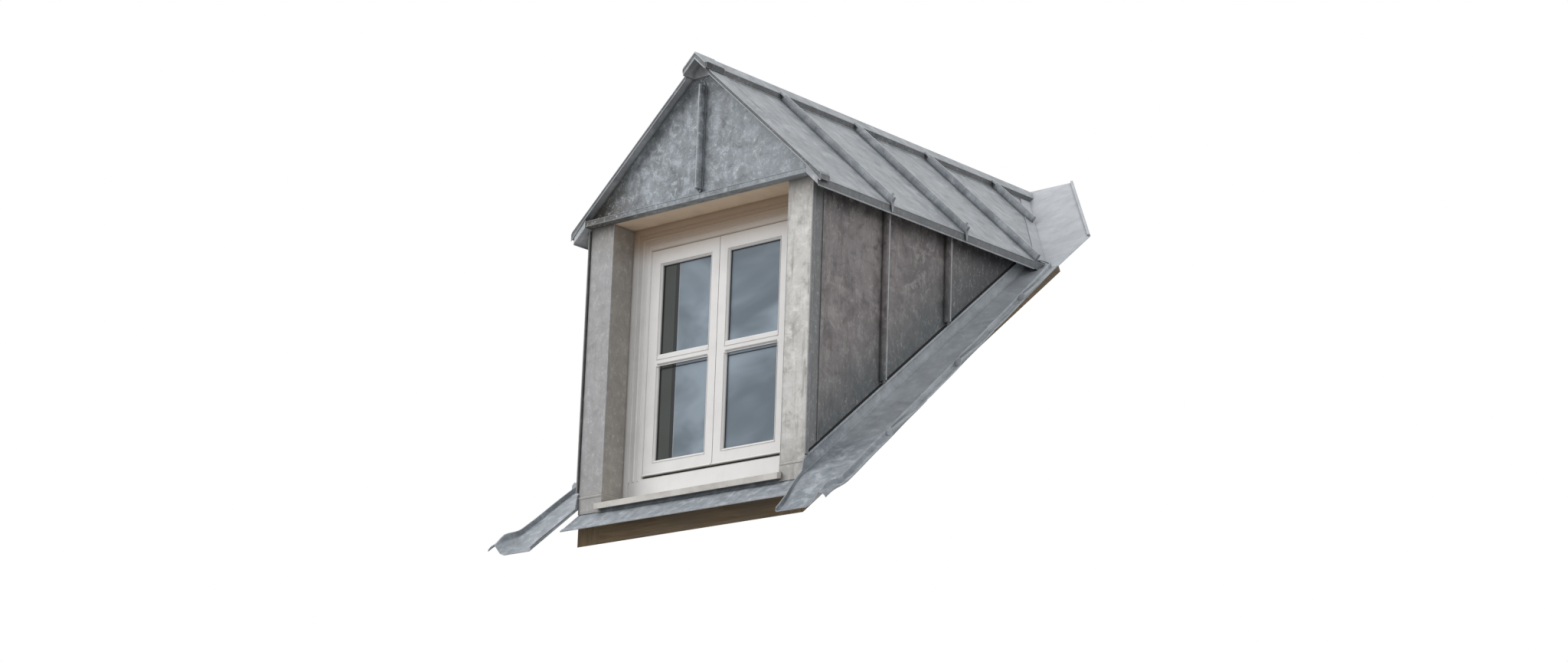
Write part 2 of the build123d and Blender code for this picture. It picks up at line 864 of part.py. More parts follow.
glass_y = casement_y + glass_face
with BuildPart() as casement:
    with BuildSketch(front_plane.offset(-casement_y)):
        with Locations(
            (
                (casement_gap / 2 + casement_half) / 2,
                (casement_bottom + casement_top) / 2,
            )
        ):
            Rectangle(casement_half - casement_gap / 2, casement_top - casement_bottom)
    extrude(amount=-casement_thickness)
    with BuildSketch(front_plane.offset(-casement_y)):
        light_outlines(0)
    extrude(amount=-casement_thickness, mode=Mode.SUBTRACT)
    face = casement.faces().sort_by(Axis.Y)[0]
    chamfer([edge for wire in face.inner_wires() for edge in wire.edges()], moulding)
    with BuildSketch(front_plane.offset(-glass_y)):
        light_outlines(glass_lap)
    extrude(amount=-glass_thickness, mode=Mode.SUBTRACT)
save_pair(casement, "casement")

with BuildPart() as glass:
    with BuildSketch(front_plane.offset(-glass_y)):
        light_outlines(glass_lap)
    extrude(amount=-glass_thickness)
save_pair(glass, "glass")

# Drip sill, with a nose that reaches a little past the reveals, and soffit board
sill_nose = front_y - sill_projection
with BuildPart() as sill:
    for rear, half in ((frame_y, inner_x), (front_y - hem_proud, inner_x + sill_ear)):
        with BuildSketch(middle.offset(-half)):
            with BuildLine():
                Polyline(
                    (rear, sill_under(rear)),
                    (rear, sill_top(rear)),
                    (sill_nose, sill_top(sill_nose)),
                    (sill_nose, sill_under(sill_nose)),
                    close=True,
                )
            make_face()
        extrude(amount=2 * half)
save(sill, "sill")

soffit_board = from_side(
    [
        (timber_front, opening_head),
        (frame_y, opening_head),
        (frame_y, frame_top),
        (timber_front, frame_top),
    ],
    -post_inner,
    post_inner,
)
save(soffit_board, "soffit_board")

# Apron flashing in front of the sill, hemmed along its lower edge
apron_end = front_y - apron_depth
hem_end = apron_end + apron_hem
with BuildPart() as apron_flashing:
    with BuildSketch(middle.offset(-timber_half)):
        with BuildLine():
            Polyline(
                (apron_end, roof_height(apron_end, flashing_height)),
                (timber_front, roof_height(timber_front, flashing_height)),
                (timber_front, roof_height(timber_front, flashing_height + sheet)),
                (hem_end, roof_height(hem_end, flashing_height + sheet)),
                (hem_end, roof_height(hem_end, flashing_height + 2 * sheet)),
                (apron_end, roof_height(apron_end, flashing_height + 2 * sheet)),
                close=True,
            )
        make_face()
    extrude(amount=2 * timber_half)
    with BuildSketch(middle.offset(-inner_x)):
        with BuildLine():
            Polyline(
                (front_y, roof_height(front_y, flashing_height)),
                (timber_front, roof_height(timber_front, flashing_height)),
                (timber_front, sill_under(timber_front)),
                (front_y, sill_under(front_y)),
                close=True,
            )
        make_face()
    extrude(amount=2 * inner_x)
save(apron_flashing, "apron_flashing")

# Side flashings: upstand, tray, raised fold and outer flange along each cheek. The tray widens
# towards its foot, and its sheet is pressed up in steps that follow the courses beside it.
fascia_foot = fascia_low - fascia_kick
tray_end_run = (fascia_foot - flashing_height / cos(main_angle)) / sin(main_angle)
foot_y = front_y - tray_forward
foot_run = foot_y / cos(main_angle)
pan_inner = half_width + sheet


def tray_x(run, offset=0.0):
    # Distance of the tray's fold from the middle line, this far up the main roof
    spread = tray_spread * (tray_end_run - run) / (tray_end_run - foot_run)
    return half_width + tray_floor + spread + offset


def tray_outline(run_low, run_high, inner, outer):
    # A strip of the tray between two lines that run with its fold
    Polyline(
        (tray_x(run_low, inner), run_low),
        (tray_x(run_low, outer), run_low),
        (tray_x(run_high, outer), run_high),
        (tray_x(run_high, inner), run_high),
        close=True,
    )


def ramp_block(run_low, run_high, inner, outer, thickness):
    # A wedge on the tray that falls from its lower end to this thickness at its upper end
    pitch = main_angle - atan(tray_step_rise / (run_high - run_low))
    top = roof_level(flashing_height + sheet + thickness)
    with BuildPart() as block:
        with BuildSketch(roof_level(flashing_height + sheet)):
            with BuildLine():
                tray_outline(run_low, run_high, inner, outer)
            make_face()
        extrude(amount=2 * tray_step_rise)
        split(
            bisect_by=Plane(
                origin=top.from_local_coords((0, run_high, 0)),
                x_dir=(1, 0, 0),
                z_dir=(0, -sin(pitch), cos(pitch)),
            ),
            keep=Keep.BOTTOM,
        )
    return block


def pressed_ramp(run_low, length, inner):
    # Sheet that stands up at its lower end and runs out flat up the slope
    run_high = run_low + length
    hollow_low = run_low + sheet
    hollow_high = run_high - 2 * sheet
    outside = ramp_block(run_low, run_high, inner, tray_flange, sheet)
    inside = ramp_block(hollow_low, hollow_high, inner + sheet, 2 * tray_flange, 0)
    return outside.part - inside.part


ramps = [
    pressed_ramp(tray_step_first + step * tray_step_gauge, tray_step_length, 0)
    for step in range(tray_steps)
]
ramps.append(pressed_ramp(foot_run, foot_hump_length, tray_flange - foot_hump_width))
with BuildPart() as side_flashing:
    with BuildSketch(roof_level(flashing_height)):
        with BuildLine():
            Polyline(
                (timber_half, foot_run),
                (tray_x(foot_run, tray_flange), foot_run),
                (tray_x(tray_end_run, tray_flange), tray_end_run),
                (timber_half, tray_end_run),
                close=True,
            )
        make_face()
    extrude(amount=sheet)
    with BuildSketch(roof_level(flashing_height)):
        with BuildLine():
            tray_outline(foot_run + foot_hump_length, tray_end_run, 0, tray_fold)
        make_face()
    extrude(amount=tray_fold_height)
    # Upstand along the cheek, and its lower fold in front of the post
    upstand_level = flashing_height + sheet + tray_upstand
    wrap_y = front_y - upstand_wrap
    fold_y = wrap_y - upstand_wrap
    with BuildSketch(middle.offset(half_width)):
        with BuildLine():
            Polyline(
                (foot_y, roof_height(foot_y, flashing_height)),
                (foot_y, roof_height(foot_y, flashing_height + sheet + inner_fold_low)),
                (fold_y, roof_height(fold_y, flashing_height + sheet + inner_fold_high)),
                (wrap_y, roof_height(wrap_y, upstand_level)),
                (roof_rear, roof_height(roof_rear, upstand_level)),
                (roof_rear, roof_height(roof_rear, flashing_height)),
                close=True,
            )
        make_face()
    extrude(amount=sheet)
    split(bisect_by=slope_level(-deck_thickness - sheet), keep=Keep.BOTTOM)
    for ramp in ramps:
        add(ramp)
save_pair(side_flashing, "side_flashing")


# Valley flashings: a pan on the main roof with an upstand on the dormer roof boards
def pan_edge(x):
    return up_main_roof(x, 0, flashing_height) + valley_pan * edge_ratio


valley_leg = slope_slab(frame_back, roof_rear, 0, sheet, 0, eave_x, flashing_height)
with valley_leg:
    split(bisect_by=roof_level(flashing_height + valley_upstand), keep=Keep.BOTTOM)

head_x = (valley_pan * edge_ratio - pan_head) * sin(main_angle) / tan(dormer_angle)
pan_outer = tray_x(tray_end_run, tray_flange)
with BuildPart() as valley_flashing:
    with BuildSketch(roof_level(flashing_height)):
        with BuildLine():
            Polyline(
                (0, up_main_roof(0, 0, flashing_height)),
                (eave_x, up_main_roof(eave_x, 0, flashing_height)),
                (eave_x, up_main_roof(eave_x, -deck_thickness, flashing_height + sheet)),
                (pan_inner, up_main_roof(pan_inner, -deck_thickness, flashing_height + sheet)),
                (pan_inner, tray_end_run),
                (pan_outer, tray_end_run),
                (pan_outer, pan_edge(pan_outer)),
                (head_x, pan_top_run),
                (0, pan_top_run),
                close=True,
            )
        make_face()
    extrude(amount=sheet)
    with BuildSketch(roof_level(flashing_height)):
        with BuildLine():
            Polyline(
                (pan_outer, pan_edge(pan_outer)),
                (head_x, pan_top_run),
                (head_x - pan_lip, pan_top_run),
                (pan_outer - pan_lip, pan_edge(pan_outer)),
                close=True,
            )
        make_face()
    extrude(amount=pan_lip_height)
    add(valley_leg.part)
save_pair(valley_flashing, "valley_flashing")
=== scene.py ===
import json
import math

import bmesh
import bpy
from mathutils import Matrix, Vector


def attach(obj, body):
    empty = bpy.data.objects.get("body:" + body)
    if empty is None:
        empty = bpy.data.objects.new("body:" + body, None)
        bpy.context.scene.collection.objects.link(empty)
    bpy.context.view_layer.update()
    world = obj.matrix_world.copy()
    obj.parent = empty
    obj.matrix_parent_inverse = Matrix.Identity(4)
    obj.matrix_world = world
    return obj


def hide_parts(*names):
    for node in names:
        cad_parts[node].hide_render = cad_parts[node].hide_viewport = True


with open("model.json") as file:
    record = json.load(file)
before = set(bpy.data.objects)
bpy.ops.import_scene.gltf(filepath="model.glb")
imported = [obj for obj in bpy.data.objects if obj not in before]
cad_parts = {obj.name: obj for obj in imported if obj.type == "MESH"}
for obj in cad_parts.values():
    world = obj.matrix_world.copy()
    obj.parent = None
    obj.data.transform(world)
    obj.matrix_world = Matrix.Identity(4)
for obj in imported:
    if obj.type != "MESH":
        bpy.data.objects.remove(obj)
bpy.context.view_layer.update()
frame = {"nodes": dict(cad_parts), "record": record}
nodes = frame["nodes"]
print("frame loaded:", len(nodes), "nodes")


# The camera stands low and to the right of the dormer, as in the photo
camera = {
    "place": (7.711147, -8.171739, -2.449717),
    "turn": 0.73305,     # to the left of straight ahead, radians
    "lift": 0.27248,     # above the horizon
    "roll": 0.03349,
    "focal": 4200 / 2048,      # fitted to points of the photo, over its width
    "sensor": 36, "clipEnd": 600,
}


def aimCamera():
    cosLift = math.cos(camera["lift"])
    ahead = Vector((
        -math.sin(camera["turn"]) * cosLift,
        math.cos(camera["turn"]) * cosLift,
        math.sin(camera["lift"]),
    ))
    level = Vector((math.cos(camera["turn"]), math.sin(camera["turn"]), 0))
    up = level.cross(ahead)
    right = level * math.cos(camera["roll"]) + up * math.sin(camera["roll"])
    up = right.cross(ahead)
    data = bpy.data.cameras.new("photoCamera")
    data.lens = camera["focal"] * camera["sensor"]
    data.sensor_width = camera["sensor"]
    data.clip_end = camera["clipEnd"]
    holder = bpy.data.objects.new("photoCamera", data)
    turned = Matrix((right, up, -ahead)).transposed()
    holder.matrix_world = Matrix.Translation(camera["place"]) @ turned.to_4x4()
    bpy.context.scene.collection.objects.link(holder)
    bpy.context.scene.camera = holder


aimCamera()
print("camera set")


# Main sizes, as in the CAD model, in millimetres
mm = 0.001
dormer = {
    "mainPitch": math.radians(40.0),
    "roofPitch": math.radians(43.0),
    "vergePitch": math.radians(42.2),
    "halfWidth": 550, "postInner": 435, "frontY": -90, "openingHead": 1143, "eaveX": 604,
    "deck": 18, "sheet": 2,
    "stripLift": 4,       # the verge strips lie this far over the boards
    "flashing": 90,       # from the seat, the underside of the base, up to the flashings
}
halfWidth = dormer["halfWidth"]
frontY = dormer["frontY"]
tanRoof = math.tan(dormer["roofPitch"])
cosRoof = math.cos(dormer["roofPitch"])
sinMain = math.sin(dormer["mainPitch"])
cosMain = math.cos(dormer["mainPitch"])
tanMain = math.tan(dormer["mainPitch"])
deckApex = dormer["openingHead"] + halfWidth * tanRoof + dormer["deck"] / cosRoof
floorLayer = dormer["flashing"] + dormer["sheet"]
upFromSeat = (0, -sinMain, cosMain)
mirrorWords = ((1, "right"), (-1, "left"))


def slopeHeight(x, layer=0):
    # height of the dormer's slope, for a layer this far above its boards
    return deckApex + layer / cosRoof - abs(x) * tanRoof


def stripHeight(x, layer=0):
    # height of a verge strip, for a layer this far above its underside
    cosVerge = math.cos(dormer["vergePitch"])
    apex = deckApex + (dormer["stripLift"] + layer) / cosVerge
    return apex - abs(x) * math.tan(dormer["vergePitch"])


def seatHeight(y, layer=0):
    # height of the sloping seat, for a layer this far above it
    return y * tanMain + layer / cosMain


def onSeat(x, run, layer=floorLayer):
    # a point this far up the sloping seat
    return (x, run * cosMain, layer / cosMain + run * sinMain)


# underside of the boards, where the slope crosses the outer face of a wall
eaveUnder = slopeHeight(halfWidth, -dormer["deck"] - dormer["sheet"])


def toLinear(hexColour):
    channels = [int(hexColour[i:i + 2], 16) / 255 for i in (1, 3, 5)]
    return [c / 12.92 if c < 0.04045 else ((c + 0.055) / 1.055) ** 2.4 for c in channels] + [1]


def addNode(tree, kind, settings=None, links=None):
    # settings are inputs, by name or number, or the node's own choices
    node = tree.nodes.new("ShaderNode" + kind)
    for key, value in (settings or {}).items():
        if isinstance(key, int) or key in node.inputs:
            node.inputs[key].default_value = value
        else:
            setattr(node, key, value)
    for key, source in (links or {}).items():
        tree.links.new(source, node.inputs[key])
    return node


def startMaterial(name):
    made = bpy.data.materials.new(name)
    made.use_nodes = True
    tree = made.node_tree
    place = addNode(tree, "TexCoord").outputs["Object"]
    return made, tree, tree.nodes["Principled BSDF"], place


def layColour(tree, under, source, low, high, most, hexColour, ease="LINEAR"):
    # lays a colour over another one: none where the source is at low, the most at high
    share = addNode(tree, "MapRange", {
        "interpolation_type": ease, "From Min": low, "From Max": high, "To Max": most,
    }, {"Value": source}).outputs["Result"]
    return addNode(tree, "MixRGB", {
        "Color2": toLinear(hexColour),
    }, {"Fac": share, "Color1": under}).outputs["Color"]


# Weathered zinc: rolled sheet that has grown a matt carbonate skin. The eye gets soft clouds the
# size of a hand, finer mottling, run-off streaks, pale curled flecks like short fibres, folds with
# a painted highlight that is partly rubbed wear, and dirt with painted shade in the corners. Sizes
# are in millimetres.
zincSkin = {
    "foldRadius": 3.4,
    # reach of the darker corners: dirt with painted shade
    "grimeAndShadeReach": 15,
    "waveLength": 330,     # the sheet lies a little wavy
    "waveDepth": 6,
    "grainDepth": 0.7,     # coarser than the real grain, so that it shows
    "metallic": 0.22,
    "roughness": (0.44, 0.64),
}
zincLooks = {
    # edge: painted highlight on the folds, partly rubbed wear; darkest colour: dirt with painted
    # shade
    "roof_zinc": {
        "base": "#b3b6b9", "dark": "#92969a", "pale": "#c0c2c4", "fleck": "#c2c4c5",
        "cloud": 260, "mottle": 60, "streakSize": (140, 22, 140), "streak": 0.45,
        "stain": "#7f8285", "fleckSize": (24, 16, 24), "fleckShare": 0.40,
        "edge": "#c7cacc", "grimeAndShade": "#4b4d4f",
    },
    "gable_zinc": {
        "base": "#90959a", "dark": "#6e7275", "pale": "#a9afb5", "fleck": "#cdd2d6",
        "cloud": 150, "mottle": 42, "streakSize": (60, 60, 240), "streak": 0.20,
        "stain": "#68655f", "fleckSize": (18, 18, 22), "fleckShare": 0.72,
        "edge": "#b9bec1", "grimeAndShade": "#3b3d3f",
    },
    "post_zinc": {
        "base": "#d3d0cc", "dark": "#afaba6", "pale": "#dad8d5", "fleck": "#dddbd8",
        "cloud": 170, "mottle": 46, "streakSize": (17, 17, 210), "streak": 0.60,
        "stain": "#8d867e", "fleckSize": (15, 15, 30), "fleckShare": 0.42,
        "edge": "#dddbd8", "grimeAndShade": "#5b5854",
    },
    "cheek_zinc": {
        "base": "#908989", "dark": "#6a6566", "pale": "#9e9897", "fleck": "#b3aeab",
        "cloud": 210, "mottle": 52, "streakSize": (20, 20, 170), "streak": 0.45,
        "stain": "#5d5450", "fleckSize": (17, 17, 42), "fleckShare": 0.70,
        "edge": "#a6a4a4", "grimeAndShade": "#343435",
    },
    "flashing_zinc": {
        "base": "#959ba0", "dark": "#82888e", "pale": "#aaafb3", "fleck": "#c1c6ca",
        "cloud": 150, "mottle": 46, "streakSize": (24, 150, 150), "streak": 0.40,
        "stain": "#6f767c", "fleckSize": (16, 22, 22), "fleckShare": 0.40,
        "edge": "#c5cace", "grimeAndShade": "#474c51",
    },
}

# Zones where a sheet changes colour: colour, direction, start and end along it in millimetres, and
# the most that shows
zoneLooks = {
    "cheek_zinc": [
        ("#5f6769", upFromSeat, 430, 130, 0.85),
        # painted shadow under the eave: darker towards the top
        ("#474546", (0, 0, 1), 1010, 1130, 0.55),
        ("#545355", (0, 1, 0), 620, 960, 0.85),
    ],
    "gable_zinc": [
        ("#5a554f", (-1, 0, -0.6), -500, -200, 0.97),
        ("#9aa0a5", (1, 0, 0), 60, 420, 0.6),
        ("#5f6163", (0, 0, 1), 1440, 1640, 0.6),
    ],
    "flashing_zinc": [
        # painted light: lighter further up the tray
        ("#b9bdc1", (0, 1, 0), -40, 260, 0.80),
        ("#bebec1", (0, 1, 0), 1160, 1330, 0.65),
    ],
    "post_zinc": [
        ("#a1a0a2", (-1, 0, 0), 100, 400, 0.9),
        ("#8e8a85", (0, 0, 1), 960, 1140, 0.75),
        ("#a19e9a", (0, 0, 1), 330, 40, 0.6),
        ("#a09a92", (0, 1, 0), -88, -84, 0.8),
    ] + [
        # painted shade on the posts' outer side faces
        ("#7e7f81", (side, 0, 0), 549.2, 549.9, 0.95)
        for side in (1, -1)
    ],
}


def makeZinc(name, look, zones):
    made, tree, shader, place = startMaterial(name)
    clouds = addNode(tree, "TexNoise", {
        "Scale": 1000 / look["cloud"], "Detail": 4, "Roughness": 0.55, "Distortion": 0.6,
    }, {"Vector": place}).outputs["Fac"]
    mottle = addNode(tree, "TexNoise", {
        "Scale": 1000 / look["mottle"], "Detail": 6, "Roughness": 0.68, "Distortion": 0.4,
    }, {"Vector": place}).outputs["Fac"]
    drawn = addNode(tree, "Mapping", {
        "Scale": [1000 / size for size in look["streakSize"]],
    }, {"Vector": place}).outputs["Vector"]
    streaks = addNode(tree, "TexNoise", {
        "Scale": 1, "Detail": 3, "Roughness": 0.6, "Distortion": 0.3,
    }, {"Vector": drawn}).outputs["Fac"]
    stretched = addNode(tree, "Mapping", {
        "Scale": [1000 / size for size in look["fleckSize"]],
    }, {"Vector": place}).outputs["Vector"]
    curls = addNode(tree, "TexNoise", {
        "Scale": 1, "Detail": 1.5, "Roughness": 0.5, "Distortion": 1.8,
    }, {"Vector": stretched}).outputs["Fac"]
    patches = addNode(tree, "TexNoise", {
        "Scale": 1.3, "Detail": 2, "Roughness": 0.5,
    }, {"Vector": stretched}).outputs["Fac"]

    colour = addNode(tree, "RGB").outputs[0]
    colour.default_value = toLinear(look["base"])
    for source, low, high, most, hexColour in (
        (clouds, 0.46, 0.68, 0.9, look["dark"]),
        (clouds, 0.46, 0.30, 0.7, look["pale"]),
        (mottle, 0.50, 0.62, 0.80, look["pale"]),
        (mottle, 0.47, 0.32, 0.75, look["dark"]),
        (streaks, 0.50, 0.72, look["streak"], look["stain"]),
    ):
        colour = layColour(tree, colour, source, low, high, most, hexColour, "SMOOTHSTEP")
    for hexColour, direction, start, end, most in zones:
        along = addNode(tree, "VectorMath", {
            "operation": "DOT_PRODUCT", 1: direction,
        }, {0: place}).outputs["Value"]
        share = addNode(tree, "MapRange", {
            "interpolation_type": "SMOOTHSTEP", "From Min": start * mm, "From Max": end * mm,
            "To Max": most,
        }, {"Value": along}).outputs["Result"]
        # the clouds break up the zone's edge
        cloudy = addNode(tree, "Math", {
            "operation": "MULTIPLY_ADD",
        }, {0: share, 1: clouds, 2: share}).outputs[0]
        cloudy = addNode(tree, "Math", {
            "operation": "MULTIPLY", "use_clamp": True, 1: 0.67,
        }, {0: cloudy}).outputs[0]
        colour = addNode(tree, "MixRGB", {
            "Color2": toLinear(hexColour),
        }, {"Fac": cloudy, "Color1": colour}).outputs["Color"]

    # the mottling also shows in the zones
    for source, low, high in ((mottle, 0.86, 1.12), (clouds, 0.90, 1.08)):
        level = addNode(tree, "MapRange", {
            "From Min": 0.34, "From Max": 0.66, "To Min": low, "To Max": high,
        }, {"Value": source}).outputs["Result"]
        colour = addNode(tree, "VectorMath", {"operation": "SCALE"}, {
            "Vector": colour, "Scale": level,
        }).outputs["Vector"]
    # the middle level of a noise draws curled lines, which the patches cut into short flecks
    centred = addNode(tree, "Math", {"operation": "SUBTRACT", 1: 0.5}, {0: curls})
    offMiddle = addNode(tree, "Math", {"operation": "ABSOLUTE"}, {0: centred.outputs[0]})
    fleck = addNode(tree, "MapRange", {
        "interpolation_type": "SMOOTHSTEP", "From Min": 0.050, "From Max": 0.012,
        "To Max": look["fleckShare"],
    }, {"Value": offMiddle.outputs[0]}).outputs["Result"]
    drift = addNode(tree, "MapRange", {
        "interpolation_type": "SMOOTHSTEP", "From Min": 0.46, "From Max": 0.55,
    }, {"Value": patches}).outputs["Result"]
    gathered = addNode(tree, "MapRange", {
        "From Min": 0.42, "From Max": 0.60, "To Min": 0.25,
    }, {"Value": mottle}).outputs["Result"]
    for limit in (drift, gathered):
        fleck = addNode(tree, "Math", {
            "operation": "MULTIPLY",
        }, {0: fleck, 1: limit}).outputs[0]
    colour = addNode(tree, "MixRGB", {
        "Color2": toLinear(look["fleck"]),
    }, {"Fac": fleck, "Color1": colour}).outputs["Color"]

    # dirt with painted shade in corners and under laps; rounded folds with a painted highlight,
    # partly wear
    hollow = addNode(tree, "AmbientOcclusion", {
        "samples": 6, "Distance": zincSkin["grimeAndShadeReach"] * mm,
    }).outputs["AO"]
    colour = layColour(tree, colour, hollow, 0.88, 0.45, 0.72, look["grimeAndShade"])
    # the folds made lighter: painted highlight, partly rubbed wear
    rounded = addNode(tree, "Bevel", {
        "samples": 4, "Radius": zincSkin["foldRadius"] * mm,
    }).outputs["Normal"]
    flat = addNode(tree, "NewGeometry").outputs["Normal"]
    turned = addNode(tree, "VectorMath", {
        "operation": "DOT_PRODUCT",
    }, {0: rounded, 1: flat}).outputs["Value"]
    colour = layColour(tree, colour, turned, 0.992, 0.90, 0.80, look["edge"])
    tree.links.new(colour, shader.inputs["Base Color"])

    shader.inputs["Metallic"].default_value = zincSkin["metallic"]
    smooth, rough = zincSkin["roughness"]
    roughness = addNode(tree, "MapRange", {
        "From Min": 0.35, "From Max": 0.65, "To Min": smooth, "To Max": rough,
    }, {"Value": mottle}).outputs["Result"]
    tree.links.new(roughness, shader.inputs["Roughness"])
    waves = addNode(tree, "TexNoise", {
        "Scale": 1000 / zincSkin["waveLength"], "Detail": 1, "Roughness": 0.4,
    }, {"Vector": place}).outputs["Fac"]
    wavy = addNode(tree, "Bump", {
        "Strength": 0.8, "Distance": zincSkin["waveDepth"] * mm,
    }, {"Height": waves, "Normal": rounded}).outputs["Normal"]
    grain = addNode(tree, "Bump", {
        "Strength": 0.35, "Distance": zincSkin["grainDepth"] * mm,
    }, {"Height": mottle, "Normal": wavy}).outputs["Normal"]
    tree.links.new(grain, shader.inputs["Normal"])
    return made


# Coats of paint and powder, in millimetres
coat = {"blotch": 110, "grimeAndShadeReach": 22, "edgeRadius": 1.5, "brushDepth": 0.3}


def makePaint(name, look):
    made, tree, shader, place = startMaterial(name)
    brush = addNode(tree, "Mapping", {
        "Scale": [1000 / size for size in look["grain"]],
    }, {"Vector": place}).outputs["Vector"]
    strokes = addNode(tree, "TexNoise", {
        "Scale": 1, "Detail": 3, "Roughness": 0.6,
    }, {"Vector": brush}).outputs["Fac"]
    blotch = addNode(tree, "TexNoise", {
        "Scale": 1000 / coat["blotch"], "Detail": 4, "Roughness": 0.6,
    }, {"Vector": place}).outputs["Fac"]
    colour = addNode(tree, "RGB").outputs[0]
    colour.default_value = toLinear(look["base"])
    colour = layColour(tree, colour, blotch, 0.45, 0.70, 0.6, look["dull"])
    colour = layColour(tree, colour, strokes, 0.52, 0.75, 0.14, look["dull"])
    height = addNode(tree, "SeparateXYZ", {}, {"Vector": place}).outputs["Z"]
    # bands of colour by height; under the window's head, painted shade warmed by bounced light
    for hexColour, start, end, most in look["zones"]:
        colour = layColour(tree, colour, height, start * mm, end * mm, most, hexColour,
                           "SMOOTHSTEP")
    # darker in corners and creases: dirt with painted shade
    hollow = addNode(tree, "AmbientOcclusion", {
        "samples": 4, "Distance": coat["grimeAndShadeReach"] * mm,
    }).outputs["AO"]
    colour = layColour(tree, colour, hollow, 0.80, 0.30, 0.6, look["grimeAndShade"])
    tree.links.new(colour, shader.inputs["Base Color"])
    shader.inputs["Roughness"].default_value = look["roughness"]
    rounded = addNode(tree, "Bevel", {
        "samples": 4, "Radius": coat["edgeRadius"] * mm,
    }).outputs["Normal"]
    relief = addNode(tree, "Bump", {
        "Strength": 0.1, "Distance": coat["brushDepth"] * mm,
    }, {"Height": strokes, "Normal": rounded}).outputs["Normal"]
    tree.links.new(relief, shader.inputs["Normal"])
    return made


paintLooks = {
    # Satin paint on planed softwood: a smooth white with faint brush marks, with painted shade,
    # warmed by painted bounced light, under the head of the opening
    "window_paint": {
        "base": "#e8e6e4", "dull": "#dcd9d6", "grimeAndShade": "#5d564f", "roughness": 0.38,
        "grain": (9, 9, 160),
        "zones": [("#b9a189", 990, 1110, 0.95)],
    },
    # Old paint on the soffit board: beige, its warm brown tone painted light bounced up from below
    "soffit_paint": {
        "base": "#ecd6bc", "dull": "#d3bda4", "grimeAndShade": "#5c5046", "roughness": 0.6,
        "grain": (220, 8, 220), "zones": [],
    },
    # Powder-coated aluminium sill: a light grey that dust and rain have blotched
    "sill_metal": {
        "base": "#d2cec8", "dull": "#9d978f", "grimeAndShade": "#4f4b47", "roughness": 0.42,
        "grain": (160, 12, 160), "zones": [],
    },
}


# Sawn softwood left bare, in millimetres: long dark grain on dull grey brown, with open joints
sawn = {
    "cloud": 240, "joint": (3.0, 1.2), "grimeAndShadeReach": 80, "grainDepth": 0.8, "roughness": 0.78,
    # dark underlay colour; it also stands in for the shade in the joint over the flashing
    "feltAndShade": "#262627",
    "feltAndShadeOut": (547.0, 547.8),     # the felt is only on the walls' outer face, and above the trays
    "feltAndShadeUp": (floorLayer + 8, floorLayer + 9),
}


def makeTimber(name, look, grainAxis="Y"):
    made, tree, shader, place = startMaterial(name)
    drawn = addNode(tree, "Mapping", {
        "Scale": [1000 / look["grainLength" if axis == grainAxis else "grainWidth"]
                  for axis in "XYZ"],
    }, {"Vector": place}).outputs["Vector"]
    grain = addNode(tree, "TexNoise", {
        "Scale": 1, "Detail": 5, "Roughness": 0.65, "Distortion": 0.8,
    }, {"Vector": drawn}).outputs["Fac"]
    cloud = addNode(tree, "TexNoise", {
        "Scale": 1000 / sawn["cloud"], "Detail": 3,
    }, {"Vector": place}).outputs["Fac"]
    sides = addNode(tree, "SeparateXYZ", {}, {"Vector": place}).outputs
    colour = addNode(tree, "RGB").outputs[0]
    colour.default_value = toLinear(look["base"])
    colour = layColour(tree, colour, grain, 0.42, 0.62, 0.8, look["grainColour"])
    colour = layColour(tree, colour, cloud, 0.45, 0.70, 0.6, look["weathered"])
    if look["board"]:
        joint = addNode(tree, "Math", {
            "operation": "PINGPONG", 1: look["board"] * mm / 2,
        }, {0: sides["Z"]}).outputs[0]
        wide, narrow = sawn["joint"]
        colour = layColour(tree, colour, joint, wide * mm, narrow * mm, 0.9, look["joint"])
    # dark underlay on the walls' outer face, in the joint over the flashing, also painting the
    # joint's shade
    outward = addNode(tree, "Math", {
        "operation": "ABSOLUTE",
    }, {0: sides["X"]}).outputs[0]
    outside = addNode(tree, "MapRange", {
        "From Min": sawn["feltAndShadeOut"][0] * mm, "From Max": sawn["feltAndShadeOut"][1] * mm,
        "To Max": look["feltAndShade"],
    }, {"Value": outward}).outputs["Result"]
    layer = addNode(tree, "VectorMath", {
        "operation": "DOT_PRODUCT", 1: upFromSeat,
    }, {0: place}).outputs["Value"]
    above = addNode(tree, "MapRange", {
        "From Min": sawn["feltAndShadeUp"][0] * mm, "From Max": sawn["feltAndShadeUp"][1] * mm,
    }, {"Value": layer}).outputs["Result"]
    feltAndShade = addNode(tree, "Math", {"operation": "MULTIPLY"}, {0: outside, 1: above})
    colour = addNode(tree, "MixRGB", {
        "Color2": toLinear(sawn["feltAndShade"]),
    }, {"Fac": feltAndShade.outputs[0], "Color1": colour}).outputs["Color"]
    # darker in corners and creases: dirt with painted shade
    hollow = addNode(tree, "AmbientOcclusion", {
        "samples": 4, "Distance": sawn["grimeAndShadeReach"] * mm,
    }).outputs["AO"]
    colour = layColour(tree, colour, hollow, 0.8, 0.2, 0.5, look["grimeAndShade"])
    tree.links.new(colour, shader.inputs["Base Color"])
    shader.inputs["Roughness"].default_value = sawn["roughness"]
    relief = addNode(tree, "Bump", {
        "Strength": 0.5, "Distance": sawn["grainDepth"] * mm,
    }, {"Height": grain}).outputs["Normal"]
    tree.links.new(relief, shader.inputs["Normal"])
    return made


